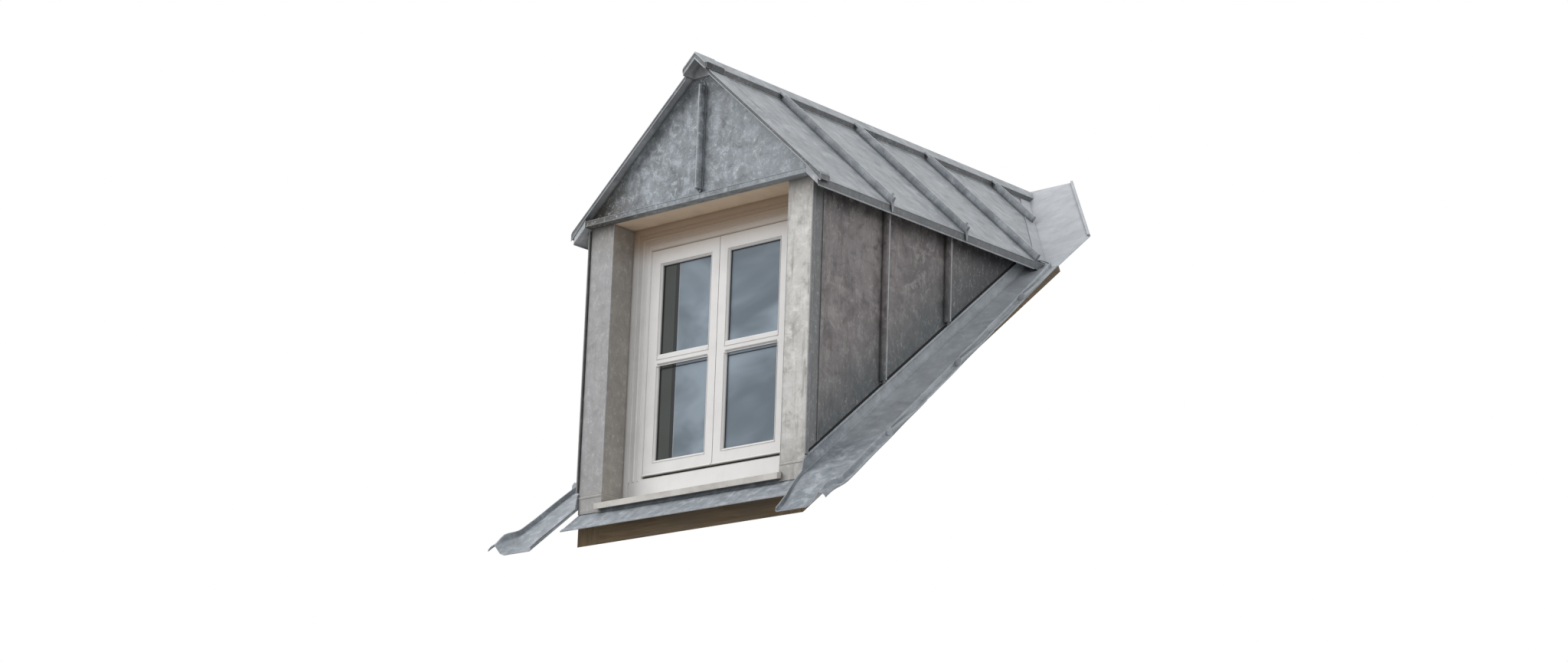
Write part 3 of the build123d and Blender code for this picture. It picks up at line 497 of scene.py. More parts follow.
timberLooks = {
    "board_timber": {
        "base": "#a28d70", "grainColour": "#80694f", "weathered": "#857a6b",
        "joint": "#241f1a", "grimeAndShade": "#2f2822",
        "grainLength": 260, "grainWidth": 13, "board": 140, "feltAndShade": 1,
    },
    "frame_timber": {
        "base": "#9e896d", "grainColour": "#7c664d", "weathered": "#81776a",
        "grimeAndShade": "#2f2822", "grainLength": 320, "grainWidth": 14, "board": 0, "feltAndShade": 0,
    },
}


glassLook = {
    # colours of a painted reflection: low and high cloudy grey; reveal, shade and line a dark
    # strip, a darker band and a pale line
    "low": "#66727c", "high": "#929fab", "reveal": "#343831", "shade": "#070808", "line": "#8d9394",
    "cloud": (340, 340, 200),
    "pane": 291,           # outer edge of the left lights, from the middle of the window
    "revealWidth": 60,
    "shadeWidth": 18,
    "lineWidth": 4,
    "strength": 0.95,
}


def makeGlass(name):
    # Sealed float-glass units: smooth and mirror-like, with a painted reflection of cloudy grey in
    # them, and a painted reflection of a dark strip down the outer side of each left pane
    made, tree, shader, place = startMaterial(name)
    drift = addNode(tree, "Mapping", {
        "Scale": [1000 / size for size in glassLook["cloud"]], "Rotation": (0, 0.35, 0),
    }, {"Vector": place}).outputs["Vector"]
    clouds = addNode(tree, "TexNoise", {
        "Scale": 1, "Detail": 3, "Roughness": 0.45, "Distortion": 0.5,
    }, {"Vector": drift}).outputs["Fac"]
    share = addNode(tree, "MapRange", {
        "interpolation_type": "SMOOTHSTEP", "From Min": 0.34, "From Max": 0.66,
    }, {"Value": clouds}).outputs["Result"]
    colour = addNode(tree, "MixRGB", {
        "Color1": toLinear(glassLook["low"]), "Color2": toLinear(glassLook["high"]),
    }, {"Fac": share}).outputs["Color"]
    sideways = addNode(tree, "SeparateXYZ", {}, {"Vector": place}).outputs["X"]
    reveal = glassLook["revealWidth"]
    shade = reveal + glassLook["shadeWidth"]
    # painted reflection of a dark strip down the outer side of each left pane
    for low, high, hexColour in (
        (0, reveal, glassLook["reveal"]),
        (reveal, shade, glassLook["shade"]),
        (shade, shade + glassLook["lineWidth"], glassLook["line"]),
    ):
        inside = addNode(tree, "Math", {
            "operation": "COMPARE",
            1: ((low + high) / 2 - glassLook["pane"]) * mm,
            2: (high - low) / 2 * mm,
        }, {0: sideways})
        weight = addNode(tree, "Math", {
            "operation": "MULTIPLY", 1: glassLook["strength"],
        }, {0: inside.outputs[0]})
        colour = addNode(tree, "MixRGB", {
            "Color2": toLinear(hexColour),
        }, {"Fac": weight.outputs[0], "Color1": colour}).outputs["Color"]
    tree.links.new(colour, shader.inputs["Base Color"])
    shader.inputs["Roughness"].default_value = 0.04
    shader.inputs["IOR"].default_value = 1.46
    return made


def makeRubber(name):
    # EPDM rubber: matt black, a little grey with dust
    made, tree, shader, place = startMaterial(name)
    dust = addNode(tree, "TexNoise", {
        "Scale": 1000 / 20, "Detail": 4,
    }, {"Vector": place}).outputs["Fac"]
    colour = addNode(tree, "MixRGB", {
        "Color1": toLinear("#1c1c1d"), "Color2": toLinear("#37383a"),
    }, {"Fac": dust}).outputs["Color"]
    tree.links.new(colour, shader.inputs["Base Color"])
    shader.inputs["Roughness"].default_value = 0.7
    return made


finish = {slot: makeZinc(slot.split("_")[0] + "Zinc", look, zoneLooks.get(slot, []))
          for slot, look in zincLooks.items()}
# painted shade: the folded-down faces of the verges, eaves and cap are darker
trimShadeZones = [
    ("#5f6163", (0, -1, 0), 130.4, 131.4, 0.9),
] + [
    ("#696b6d", (side, 0, 0), 604.6, 605.4, 0.85)
    for side in (1, -1)
]
capShadeZones = [
    ("#3e3f41", (side, 0, 0), 53.2, 54.4, 0.95)
    for side in (1, -1)
] + [
    ("#5d5e60", (0, -1, 0), 146.4, 147.4, 0.7),
]
trimZinc = makeZinc("trimZinc", zincLooks["roof_zinc"], trimShadeZones)
capZinc = makeZinc("capZinc", zincLooks["roof_zinc"], capShadeZones)
# painted shadow along the foot of a seam
seamShadowZinc = makeZinc("seamShadowZinc", {
    **zincLooks["roof_zinc"], "base": "#5e6062", "dark": "#4a4b4d", "pale": "#77797b",
    "fleckShare": 0,
}, [])
# the roof's folds are a little darker and bluer than its sheets
beadZinc = makeZinc("beadZinc", {
    **zincLooks["roof_zinc"], "base": "#989ca1", "dark": "#7b8086", "pale": "#a9adb1",
}, [])
# painted highlight along the tops of the folds
seamHighlightZinc = makeZinc("seamHighlightZinc", {
    **zincLooks["roof_zinc"], "base": "#c3c6c8", "dark": "#a5a8aa", "pale": "#d2d4d5",
}, [])
for slot, name in zip(paintLooks, ("windowPaint", "soffitPaint", "sillCoating")):
    finish[slot] = makePaint(name, paintLooks[slot])
finish["board_timber"] = makeTimber("boardTimber", timberLooks["board_timber"])
finish["frame_timber"] = makeTimber("frameTimber", timberLooks["frame_timber"])
postTimber = makeTimber("postTimber", {**timberLooks["frame_timber"], "feltAndShade": 1}, "Z")
crossTimber = makeTimber("crossTimber", timberLooks["frame_timber"], "X")
finish["window_glass"] = makeGlass("windowGlass")
rubber = makeRubber("glazingRubber")
# nodes whose finish differs from the rest of their slot
ownFinish = {
    "corner_post": postTimber, "cheek_studs": postTimber,
    "front_curb": crossTimber, "lintel": crossTimber,
    "verge_trim": trimZinc, "eaves_trim": trimZinc, "ridge_cap": capZinc,
}
for part in frame["record"]["subparts"]:
    held = nodes[part["node"]].data.materials
    held.clear()
    word = part["node"].removesuffix("_left").removesuffix("_right")
    held.append(ownFinish.get(word, finish[part["material_slot"]]))
print("materials set")


def sweep(points, profile, up=(0, 0, 1)):
    # carries a closed profile of (side, up) points along a line
    spots = [Vector(point) for point in points]
    vertices = []
    for i, spot in enumerate(spots):
        before = (spot - spots[i - 1]).normalized() if i else Vector()
        after = (spots[i + 1] - spot).normalized() if i + 1 < len(spots) else Vector()
        along = (before + after).normalized()
        side = along.cross(Vector(up)).normalized()
        lift = side.cross(along)
        # corners are mitred
        side = side / max(0.5, along.dot(after if i + 1 < len(spots) else before))
        vertices += [spot + side * u + lift * v for u, v in profile]
    count = len(profile)
    faces = [tuple(reversed(range(count))), tuple(range(len(vertices) - count, len(vertices)))]
    for ring in range(len(spots) - 1):
        for k in range(count):
            low = ring * count
            following = (k + 1) % count
            faces.append((low + k, low + following, low + count + following, low + count + k))
    return vertices, faces


def roundBar(radius, sides=6):
    return [(radius * math.cos(math.tau * k / sides), radius * math.sin(math.tau * k / sides))
            for k in range(sides)]


def plate(outline, depth):
    # an outline carried by a depth vector
    front = [Vector(point) for point in outline]
    count = len(front)
    vertices = front + [point + Vector(depth) for point in front]
    faces = [tuple(range(count)), tuple(reversed(range(count, 2 * count)))]
    for k in range(count):
        following = (k + 1) % count
        faces.append((k, k + count, following + count, following))
    return vertices, faces


def addPiece(name, shapes, slot, bevel=0, material=None, closed=True):
    # the faces of an open sheet keep the side they were given
    mesh = bmesh.new()
    for vertices, faces in shapes:
        made = [mesh.verts.new(Vector(point) * mm) for point in vertices]
        for face in faces:
            mesh.faces.new([made[k] for k in face])
    if closed:
        bmesh.ops.recalc_face_normals(mesh, faces=mesh.faces)
    data = bpy.data.meshes.new(name)
    mesh.to_mesh(data)
    mesh.free()
    data.shade_smooth()
    data.set_sharp_from_angle(angle=math.radians(40))
    piece = bpy.data.objects.new(name, data)
    bpy.context.scene.collection.objects.link(piece)
    data.materials.append(material or finish[slot])
    if bevel:
        softened = piece.modifiers.new("softened", "BEVEL")
        softened.width = bevel * mm
        softened.segments = 2
    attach(piece, "root")
    return piece


def mirrored(shapes, side):
    return [([(side * x, y, z) for x, y, z in vertices], faces) for vertices, faces in shapes]


def addPair(name, shapes, slot, bevel=0, material=None):
    # the right-hand piece and its mirror image
    for side, word in mirrorWords:
        addPiece(name + "_" + word, mirrored(shapes, side), slot, bevel, material)


# Side flashings: each tray is one pressed sheet with a hemmed upstand, a raised fold and a flange
# that climbs in steps
tray = {
    "footY": -280, "flareEndY": -104, "endRun": 1508.3, "floor": 105,
    "spread": 125,         # added to the floor at the foot
    "cant": 16,            # the floor climbs this much towards the wall
    "flare": 42,           # the foot's inner edge stands this much further out
    "upstandTop": 154,
    "cornerY": 1213,       # end of the upstand under the eave
    "frontFold": (104, 120),       # layers of the low fold in front of the post, foot and top
    "frontFoldY": (-106, -98),     # where that fold rises to the whole upstand
    "hemDepth": 10,
    "steps": 3, "stepFirst": 130, "stepGauge": 540, "stepLength": 190, "stepRise": 15,
    "earHeight": 24, "humpStart": -44, "humpWidth": 112, "humpLength": 170, "humpRise": 32,
    "laps": (398, 948), "lapLength": 34, "lapRise": 2.2,
    "buckle": 1.1,         # the floor isn't quite flat: depth of its wave, and how it spreads
    "waves": (37, 61, 89),
    "pressed": 0.85,       # share of the fold that is pressed flat at the foot
    "skirtDrop": 1.5, "rowGap": 38, "gauge": 1.6,
}
# the raised fold and the flange, as offsets from the floor's outer edge and rises
foldProfile = [
    (-3, 0), (-1, 2), (0, 12), (1.5, 15.5), (4, 16), (6.5, 15.5), (8, 12), (9, 3), (11, 1),
    (20, 0), (29, 0), (31, 2.6), (36, 2.8), (37, 1.6), (37.4, 0.4),
]
footRun = tray["footY"] / cosMain
steps = [tray["stepFirst"] + tray["stepGauge"] * step for step in range(tray["steps"])]


def trayX(run, offset=0):
    share = (tray["endRun"] - run) / (tray["endRun"] - footRun)
    return halfWidth + tray["floor"] + tray["spread"] * share + offset


def between(value, low, high):
    # 0 below low, 1 above high, eased in between
    share = min(1, max(0, (value - low) / (high - low)))
    return share * share * (3 - 2 * share)


def upstandLayer(run):
    y = run * cosMain
    foot, fold = tray["frontFold"]
    low, high = tray["frontFoldY"]
    if y < low:
        return foot + (fold - foot) * (y - tray["footY"]) / (low - tray["footY"])
    if y < high:
        return fold + (tray["upstandTop"] - fold) * (y - low) / (high - low)
    return min(tray["upstandTop"], (eaveUnder - y * tanMain) * cosMain)


def flangeLift(run):
    for low in steps:
        if low <= run < low + tray["stepLength"]:
            return tray["stepRise"] * (1 - (run - low) / tray["stepLength"])
    return 0


def sheetLift(x, run):
    # laps across the floor, a lazy wave, and the hump over the foot's outer half
    across, along, slow = tray["waves"]
    lift = tray["buckle"] * math.sin(x / across + run / along) * math.sin(run / slow + 1)
    for lap in tray["laps"]:
        if lap <= run:
            lift += tray["lapRise"] * (1 - between(run, lap + 2, lap + tray["lapLength"]))
    share = (x - trayX(run, tray["humpStart"])) / tray["humpWidth"]
    fade = 1 - between(run, footRun + 20, footRun + tray["humpLength"])
    return lift + tray["humpRise"] * fade * math.sin(math.pi * min(1, max(0, share))) ** 2


def traySection(run):
    # points from the hem of the upstand to the skirt of the flange, as (x, layer)
    top = upstandLayer(run)
    inFront = 1 - between(run * cosMain, tray["footY"], tray["flareEndY"])
    face = halfWidth + dormer["sheet"] + tray["flare"] * inFront
    cant = tray["cant"] * (1 - inFront)
    hem = max(top - tray["hemDepth"], floorLayer + 6.5)
    crease = floorLayer + cant
    points = [
        (face - 1, top), (face + 1.6, top - 0.6), (face + 1.8, top - 1.6), (face + 1.8, hem + 0.8),
        (face + 0.2, hem), (face, crease + 5), (face + 1.2, crease + 1.8), (face + 4, crease + 0.3),
    ]
    start = face + 8
    end = trayX(run, -6)
    for k in range(9):
        points.append((start + (end - start) * k / 8, floorLayer + cant * (1 - k / 8) ** 1.4))
    flat = 1 - between(run, footRun, footRun + 70)
    for offset, rise in foldProfile:
        lift = flangeLift(run) * between(offset, 7, 13)
        layer = floorLayer + rise * (1 - tray["pressed"] * flat) + lift
        points.append((trayX(run, offset), layer))
    points.append((trayX(run, foldProfile[-1][0]), floorLayer - tray["skirtDrop"]))
    return [(x, layer + (sheetLift(x, run) if x > start - 1 else 0)) for x, layer in points]


def trayRuns():
    # rows of the sheet, closer where its shape changes
    runs = {footRun, footRun + 5, frontY / cosMain, tray["endRun"] - 2}
    runs |= {y / cosMain for y in tray["frontFoldY"]}
    runs |= {footRun + 20 * k for k in range(1, 9)}
    for low in steps:
        runs |= {low - 0.6, low + 0.6, low + 20, low + 60, low + 120, low + tray["stepLength"]}
    for lap in tray["laps"]:
        runs |= {lap - 0.5, lap + 0.5, lap + 12, lap + tray["lapLength"]}
    run = footRun + 200
    while run < tray["endRun"] - 20:
        if min(abs(run - other) for other in runs) > 14:
            runs.add(run)
        run += tray["rowGap"]
    return sorted(runs)


def addTrays():
    runs = trayRuns()
    sections = [traySection(run) for run in runs]
    count = len(sections[0])
    vertices = [onSeat(x, run, layer) for run, section in zip(runs, sections)
                for x, layer in section]
    faces = []
    for row in range(len(runs) - 1):
        for k in range(count - 1):
            low = row * count + k
            faces.append((low, low + 1, low + count + 1, low + count))
    # the upstand's last corner under the eave
    x = halfWidth + 0.2
    rear = tray["cornerY"]
    front = tray["endRun"] * cosMain - 3
    corners = [(x, y, seatHeight(y, floorLayer)) for y in (front, rear)]
    corners += [(x, y, eaveUnder) for y in (rear, front)]
    loose = [plate(corners, (tray["gauge"], 0, 0))]
    # the foot's edge is rolled
    edge = [onSeat(x, footRun + 1, layer) for x, layer in sections[0][5:-3]]
    loose.append(sweep(edge, roundBar(1.7)))
    # a small ear stands up where the flange jogs at each step
    for low in steps:
        inner, outer, tall = trayX(low, 10), trayX(low, 37), tray["earHeight"]
        outline = ((inner, 0), (outer, 0), (outer - 3, tall - 6), (outer - 12, tall),
                   (inner, tall - 8))
        loose.append(plate([onSeat(x, low - 1, floorLayer + z) for x, z in outline],
                           (0, 2 * cosMain, 2 * sinMain)))
    for side, word in mirrorWords:
        turned = faces if side > 0 else [face[::-1] for face in faces]
        sheet = mirrored([(vertices, turned)], side)
        piece = addPiece("tray_" + word, sheet, "flashing_zinc", closed=False)
        thick = piece.modifiers.new("gauge", "SOLIDIFY")
        thick.thickness = tray["gauge"] * mm
        thick.offset = -1
        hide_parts("side_flashing_" + word)
        addPiece("trayEars_" + word, mirrored(loose, side), "flashing_zinc")


addTrays()


# Verge strips: rolled edges that catch the light
verge = {
    "front": -132, "startX": 57, "tipX": 620, "width": 70, "headWidth": 94, "round": 34,
    "fold": 12, "drop": 20, "edge": 1.9,
}


def addVergeEdges():
    rod = roundBar(verge["edge"])
    front, start, tip, corner = verge["front"], verge["startX"], verge["tipX"], verge["round"]
    top = dormer["sheet"]
    lower = [(x, front, stripHeight(x, top - verge["fold"])) for x in (start, halfWidth)]
    lower.append((tip - 1, front, stripHeight(tip, top - verge["drop"])))
    outline = [(start, front), (tip - 6, front), (tip, front + 6)]
    for k in range(7):
        turn = math.radians(15 * k)
        outline.append((tip - corner + corner * math.cos(turn),
                        front + verge["width"] - corner + corner * math.sin(turn)))
    outline.append((start, front + verge["headWidth"]))
    upper = [(x, y, stripHeight(x, top)) for x, y in outline]
    addPair("vergeEdges", [sweep(lower, rod), sweep(upper, rod)], "roof_zinc")


addVergeEdges()


# Ridge cap: rolled lip of the hood, collar edge and the two down-turned hems
cap = {
    "front": -148, "hemX": 54.1, "rise": 20, "collar": 100, "rearY": 1800,
    "lip": 3.0, "hem": 2.2, "crease": 1.5,
}


def addCapEdges():
    front, edge = cap["front"], cap["hemX"]
    top = cap["rise"] + 2 * dormer["sheet"]
    lip = roundBar(cap["lip"], 8)
    hem = roundBar(cap["hem"])
    shapes = []
    rear = front + cap["collar"]
    for y, layer, profile in ((front, 5, lip), (front, top - 3, lip), (rear, top - 1, hem)):
        line = [(x, y, slopeHeight(x, layer)) for x in (-edge, 0, edge)]
        shapes.append(sweep(line, profile, (0, 1, 0)))
    crease = roundBar(cap["crease"])
    for side in (-1, 1):
        for x, layer, profile in ((edge, 3, hem), (edge - 0.5, cap["rise"] + 1, crease)):
            line = [(side * x, y, slopeHeight(edge, layer)) for y in (rear, cap["rearY"])]
            shapes.append(sweep(line, profile))
    addPiece("capEdges", shapes, "roof_zinc")


addCapEdges()


# Standing seams: the locked fold is rolled tight, so it shows as a rounded bead with one full side.
# Each roof seam ends in a leaf-shaped tab, pinched flat and bent down over the eave
seams = {
    "start": 60,
    "runs": ((275, 604), (705, 604), (1135, 604), (1565, 252)),    # place and end of each
    "cheek": (303, 660),
    "cheekFoot": 168,      # layer over the seat
    "cheekTop": 24,        # the seams run up to where the boards are this far out
    "gable": (1193, 1594),
    "gableShift": 2,
    "leafCount": 2, "leaf": 15, "height": 30, "drop": 30, "thickness": 3, "rim": 1.5,
}
bead = [
    (-4.4, 0), (-4.6, 16), (-4.4, 24), (-2.8, 29), (0.5, 31), (3.8, 31), (6.9, 29), (8.8, 24),
    (9.2, 18), (8.6, 8), (7.0, 0),
]
# a strip along the top of each fold: painted highlight
seamHighlightStrip = [(2.2, 30.6), (3.4, 31.8), (5.8, 31.2), (7.2, 29)]
# thin dark strips at the foot of each seam: painted shadow
seamShadowStrips = [
    [(-7.8, -0.3), (-4, -0.3), (-4, 2.6), (-5, 2.6), (-7.8, 1.4)],
    [(6.4, -0.3), (10.6, -0.3), (10.6, 1.4), (8.0, 3), (6.4, 3)],
]


def addSeamBeads():
    roof, bright, dark = [], [], []
    for y, end in seams["runs"]:
        points = [(x, y, slopeHeight(x, dormer["sheet"] - 1)) for x in (seams["start"], end)]
        roof.append(sweep(points, bead))
        bright.append(sweep(points, seamHighlightStrip))
        dark += [sweep(points, line) for line in seamShadowStrips]
    addPair("roofBeads", roof, "roof_zinc", material=beadZinc)
    addPair("roofSeamShadow", dark, "roof_zinc", material=seamShadowZinc)
    addPair("roofSeamHighlights", bright, "roof_zinc", material=seamHighlightZinc)
    wall, bright = [], []
    top = slopeHeight(halfWidth + seams["cheekTop"], -dormer["deck"] - 2 * dormer["sheet"])
    for y in seams["cheek"]:
        points = [(halfWidth + 1, y, z) for z in (seatHeight(y, seams["cheekFoot"]), top)]
        for shapes, profile in ((wall, bead), (bright, seamHighlightStrip)):
            turned = [(-u, v) for u, v in reversed(profile)]
            shapes.append(sweep(points, turned, (1, 0, 0)))
    addPair("cheekBeads", wall, "cheek_zinc")
    addPair("cheekSeamHighlights", bright, "cheek_zinc", material=seamHighlightZinc)
    points = [(0, frontY - 1, z) for z in seams["gable"]]
    shift = seams["gableShift"]
    for name, profiles, aside, material in (
        ("gableBead", [bead], shift, None),
        ("gableSeamHighlight", [seamHighlightStrip], 0, seamHighlightZinc),
        ("gableSeamShadow", seamShadowStrips, shift, seamShadowZinc),
    ):
        shapes = [sweep(points, [(u + aside, v) for u, v in profile], (0, -1, 0))
                  for profile in profiles]
        addPiece(name, shapes, "gable_zinc", material=material)


addSeamBeads()


def addSeamEnds():
    shapes = []
    x = dormer["eaveX"] + 5.4
    base = slopeHeight(dormer["eaveX"], dormer["sheet"])
    top = base + seams["height"] / cosRoof
    foot = base - seams["drop"]
    half = seams["leaf"] / 2
    for run in seams["runs"][:seams["leafCount"]]:
        y = run[0] - 1
        outline = [(x, y + u, z) for u, z in (
            (-half * 0.5, top), (half * 0.6, top - 2), (half, base + 18),
            (half * 0.75, base - 4), (1.5, foot), (-1.5, foot), (-half * 0.75, base - 4),
            (-half, base + 18), (-half, base + 32),
        )]
        shapes.append(plate(outline, (seams["thickness"], 0, 0)))
        rim = [Vector(point) + Vector((seams["thickness"], 0, 0)) for point in outline]
        shapes.append(sweep(rim + [rim[0]], roundBar(seams["rim"]), (1, 0, 0)))
    addPair("seamEnds", shapes, "roof_zinc", 0.8, beadZinc)


addSeamEnds()


# Gable: rolled edges of the drip trim, and the tabs at both ends of the middle seam
gable = {
    "dripY": -128, "dripTop": 1163, "seamLow": 1193, "seamTop": 1594, "edge": 1.9,
    "tabOut": 29, "footRod": 2.4,
}


def addGableDetails():
    rod = roundBar(gable["edge"])
    shapes = []
    for z in (gable["dripTop"], dormer["openingHead"] + 1.5):
        line = [(x, gable["dripY"], z) for x in (-halfWidth + 1, halfWidth - 1)]
        shapes.append(sweep(line, rod))
    # flat tabs close the seam at its foot and its top
    for z, grow, depth in ((gable["seamLow"], -1, 9), (gable["seamTop"], 1, 3)):
        outline = [(-5, z), (5, z), (4, z + grow * 10), (0, z + grow * 15), (-4, z + grow * 10)]
        shapes.append(plate([(u + 3, frontY - 1, v) for u, v in outline], (0, -depth, 0)))
    foot = gable["seamLow"]
    line = [(2, frontY - gable["tabOut"], foot + 1), (2, frontY - 4, foot - 10)]
    shapes.append(sweep(line, roundBar(gable["footRod"], 8)))
    addPiece("gableEdges", shapes, "gable_zinc", 0.8)


addGableDetails()


# Corner posts: bright folds up both edges, and a raised lock at the outer corner
post = {
    "lockOut": 8, "lockForward": 8, "lockReturn": 9, "lockSheet": 1.8, "lockStop": 8,
    "edge": 1.5, "band": 66,
}


def addPostDetails():
    rod = roundBar(post["edge"])
    top = dormer["openingHead"]
    low = seatHeight(frontY, floorLayer) + post["band"]
    shapes = [sweep([(dormer["postInner"] + 0.5, frontY, z) for z in (low, top)], rod, (0, 1, 0))]
    out = halfWidth + post["lockOut"]
    forward = frontY - post["lockForward"]
    back = frontY + post["lockReturn"]
    sheet = post["lockSheet"]
    foot = seatHeight(frontY, tray["upstandTop"]) + 4
    stop = top - post["lockStop"]
    outline = [(halfWidth - 1, back), (out, back), (out, forward), (out - sheet, forward),
               (out - sheet, back - 2), (halfWidth - 1, back - 2)]
    shapes.append(plate([(x, y, foot) for x, y in outline], (0, 0, stop - foot)))
    line = [(out - sheet / 2, forward, z) for z in (foot, stop)]
    shapes.append(sweep(line, roundBar(sheet), (0, 1, 0)))
    addPair("postEdges", shapes, "post_zinc")


addPostDetails()


# Valleys: a lighter strip laps the slope, with a fold on both sides, and curls up at the eave
valley = {
    "start": 40, "strip": 58, "thickness": 2.4, "fold": 2.2,
    "curlPoints": 7, "curlTurn": 22, "curlStep": (6, 6, -4), "curlRise": 9,
    "curlBar": [(-5, 0), (5, 0), (5, 1.6), (-5, 1.6)],
}


def valleyPoint(x, back, layer=3):
    # where the slope meets the valley flashing, or this far in front of that line
    z = slopeHeight(x, layer)
    return (x, (z - floorLayer / cosMain) / tanMain - back, z)


def addValleys():
    high, low, strip = valley["start"], dormer["eaveX"] - 4, valley["strip"]
    corners = ((high, 0), (high, strip), (low, strip), (low, 0))
    depth = Vector((math.sin(dormer["roofPitch"]), 0, cosRoof)) * valley["thickness"]
    shapes = [plate([valleyPoint(x, back) for x, back in corners], depth)]
    rod = roundBar(valley["fold"])
    for back in (0, strip):
        shapes.append(sweep([valleyPoint(x, back, 4) for x in (high, low)], rod))
    # the strip's end is slit and curls away from the eave's corner
    start = Vector(valleyPoint(low, strip - 12, 5))
    stride = Vector(valley["curlStep"])
    curl = []
    for k in range(valley["curlPoints"]):
        rise = valley["curlRise"] * math.sin(math.radians(valley["curlTurn"] * k))
        curl.append(start + stride * k + Vector((0, 0, rise)))
    shapes.append(sweep(curl, valley["curlBar"]))
    addPair("valleyFolds", shapes, "flashing_zinc")


addValleys()


# Eaves: rolled top edge and drip lip of each fascia
eave = {"front": -128, "topEnd": 1120, "lipEnd": 1118, "lipDrop": 33, "top": 1.9, "lip": 2.6}


def addEaveEdges():
    x = dormer["eaveX"] + dormer["sheet"]
    lipX = x + 1.4
    lipZ = slopeHeight(x, 2) - eave["lipDrop"]
    shapes = [
        sweep([(x, y, slopeHeight(x, 1)) for y in (eave["front"], eave["topEnd"])],
              roundBar(eave["top"])),
        sweep([(lipX, y, lipZ) for y in (eave["front"], eave["lipEnd"])], roundBar(eave["lip"])),
    ]
    addPair("eaveEdges", shapes, "roof_zinc")


addEaveEdges()


# Window: rubber round each pane, a small bead in front of it, and a drip bar on each leaf
window = {
    "frameY": 25, "leafY": 28, "glassY": 42, "frameFoot": 172,
    "leafLow": 186, "leafIn": 1, "leafOut": 345,
    "lightIn": 48, "lightOut": 291, "lights": ((242, 590), (632, 986)),
    "rubber": 1.6, "beadOut": 8,
    "drip": [(0, 0), (8, 1), (8, 4), (0, 9)],
    # softly rounded steps of the frame: inset from its outer edge, half width and rise
    "mouldings": ((23, 3.5, 4.4), (46, 5, 3.2), (68, 3.2, 2.6)),
}


def loopAround(inset, low, high, y):
    # four rods round a light, this far inside its edges
    left, right = window["lightIn"] + inset, window["lightOut"] - inset
    foot, top = low + inset, high - inset
    corners = [(left, y, foot), (right, y, foot), (right, y, top), (left, y, top)]
    rod = roundBar(window["rubber"])
    return [sweep([corners[k], corners[(k + 1) % 4]], rod, (0, 1, 0)) for k in range(4)]


def addWindowDetails():
    gaskets, beads = [], []
    for low, high in window["lights"]:
        gaskets += loopAround(1, low, high, window["glassY"] - 1.2)
        beads += loopAround(-window["beadOut"], low, high, window["leafY"] - 0.3)
    addPair("glazingRubber", gaskets, "window_paint", material=rubber)
    line = [(x, window["leafY"], window["leafLow"])
            for x in (window["leafIn"] + 1, window["leafOut"] - 2)]
    addPair("leafBeads", beads + [sweep(line, window["drip"])], "window_paint")
    shapes = []
    y, foot = window["frameY"], window["frameFoot"]
    for inset, half, rise in window["mouldings"]:
        x, top = dormer["postInner"] - inset, dormer["openingHead"] - inset
        shapes.append(sweep([(-x, y, foot), (-x, y, top), (x, y, top), (x, y, foot)], [
            (-half, -0.8), (-half, 0.2), (-half * 0.6, rise * 0.8), (0, rise),
            (half * 0.6, rise * 0.8), (half, 0.2), (half, -0.8),
        ], (0, -1, 0)))
    addPiece("frameMouldings", shapes, "window_paint")


addWindowDetails()
print("detail pieces added")


# Plain pale studio, in metres
studio = {
    "floorBelow": 3.4, "floorSize": 400, "floorGlow": 0.24,
    "lightAbove": 0.72, "lightAround": 0.34,
    "aim": (0, 0.5, 0.8),
    # place, size and power of each soft lamp
    "lamps": {
        "keyLight": ((-4.5, -5.0, 5.5), 5, 520),
        "fillLight": ((6.0, -4.0, 3.0), 6, 130),
    },
}


def seenDirectly(tree):
    # 1 for what the camera sees straight, mirrored or through glass
    path = addNode(tree, "LightPath").outputs
    seen = path["Is Camera Ray"]
    for word in ("Glossy", "Transmission"):
        seen = addNode(tree, "Math", {
            "operation": "MAXIMUM",
        }, {0: seen, 1: path["Is " + word + " Ray"]}).outputs[0]
    return seen


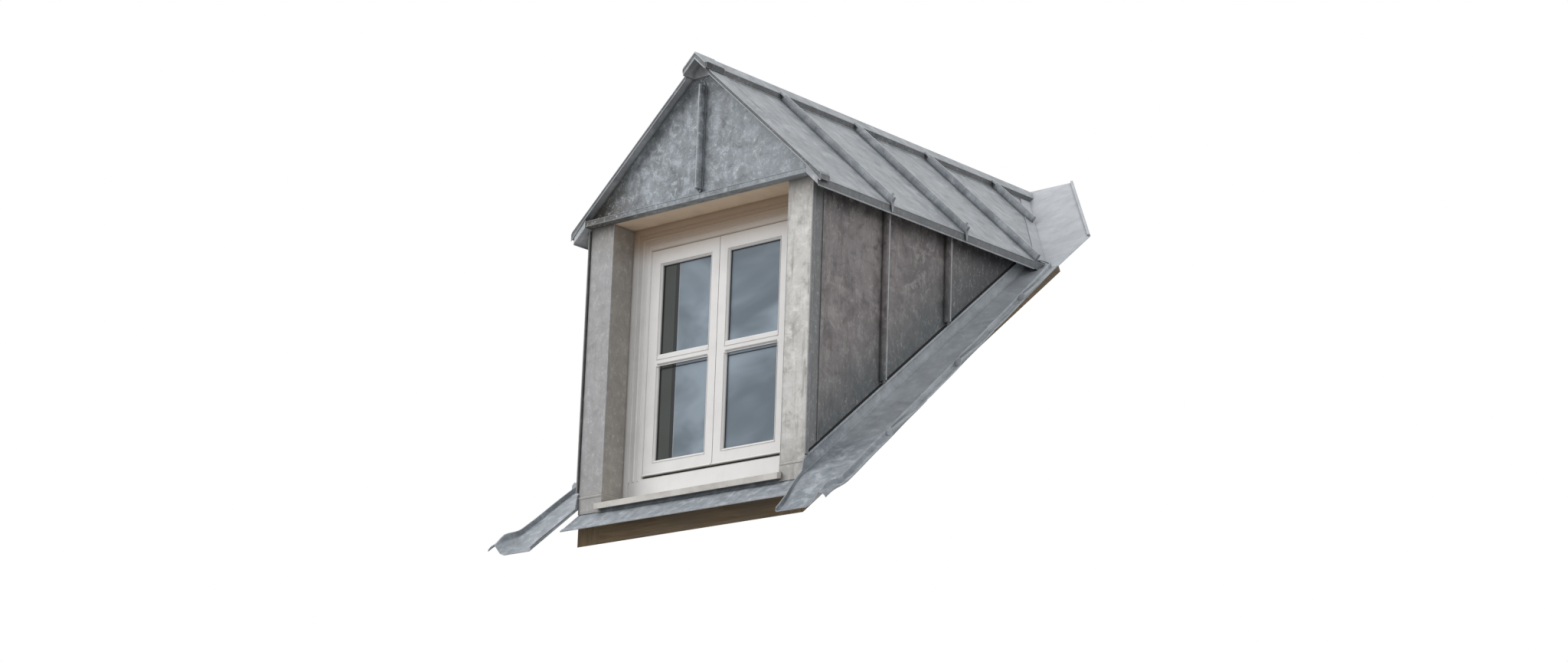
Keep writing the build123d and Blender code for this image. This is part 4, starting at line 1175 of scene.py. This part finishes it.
def makeFloor():
    # Matt painted floor: pale to the eye, with less light thrown back up at the object, and clear
    # from below, to show the open base
    made, tree, shader = startMaterial("floorPaint")[:3]
    shader.inputs["Base Color"].default_value = toLinear("#a39e99")
    shader.inputs["Roughness"].default_value = 0.9
    matt = addNode(tree, "BsdfDiffuse", {"Color": toLinear("#ecebe8")})
    glow = addNode(tree, "Emission", {
        "Color": (1, 1, 1, 1), "Strength": studio["floorGlow"],
    })
    pale = addNode(tree, "AddShader", {}, {0: matt.outputs[0], 1: glow.outputs[0]})
    floor = addNode(tree, "MixShader", {}, {
        0: seenDirectly(tree), 1: shader.outputs[0], 2: pale.outputs[0],
    })
    oneSided = addNode(tree, "MixShader", {}, {
        0: addNode(tree, "NewGeometry").outputs["Backfacing"],
        1: floor.outputs[0],
        2: addNode(tree, "BsdfTransparent").outputs[0],
    })
    tree.links.new(oneSided.outputs[0], tree.nodes["Material Output"].inputs["Surface"])
    return made


def addFloor():
    mesh = bpy.data.meshes.new("floor")
    half = studio["floorSize"] / 2
    corners = [(x * half, y * half, -studio["floorBelow"])
               for x, y in ((-1, -1), (1, -1), (1, 1), (-1, 1))]
    mesh.from_pydata(corners, [], [(0, 1, 2, 3)])
    floor = bpy.data.objects.new("floor", mesh)
    bpy.context.scene.collection.objects.link(floor)
    floor.data.materials.append(makeFloor())


def addLamps():
    for name, (place, size, power) in studio["lamps"].items():
        data = bpy.data.lights.new(name, "AREA")
        data.size = size
        data.energy = power
        lamp = bpy.data.objects.new(name, data)
        lamp.location = place
        lamp.visible_glossy = False
        aim = Vector(studio["aim"]) - Vector(place)
        lamp.rotation_euler = aim.to_track_quat("-Z", "Y").to_euler()
        bpy.context.scene.collection.objects.link(lamp)


def paintWorld():
    world = bpy.data.worlds.new("studio")
    bpy.context.scene.world = world
    world.use_nodes = True
    tree = world.node_tree
    tree.nodes.clear()
    # more light from overhead than from the sides
    direction = addNode(tree, "TexCoord").outputs["Generated"]
    height = addNode(tree, "SeparateXYZ", {}, {"Vector": direction}).outputs["Z"]
    strength = addNode(tree, "MapRange", {
        "From Min": 0, "From Max": 0.8,
        "To Min": studio["lightAround"], "To Max": studio["lightAbove"],
    }, {"Value": height}).outputs["Result"]
    soft = addNode(tree, "Background", {
        "Color": (0.90, 0.95, 1.0, 1),
    }, {"Strength": strength})
    white = addNode(tree, "Background", {"Color": (1, 1, 1, 1), "Strength": 1})
    mixed = addNode(tree, "MixShader", {}, {
        0: seenDirectly(tree), 1: soft.outputs[0], 2: white.outputs[0],
    })
    addNode(tree, "OutputWorld", {}, {"Surface": mixed.outputs[0]})


addFloor()
addLamps()
paintWorld()
bpy.context.scene.view_settings.view_transform = "Standard"
print("studio set")
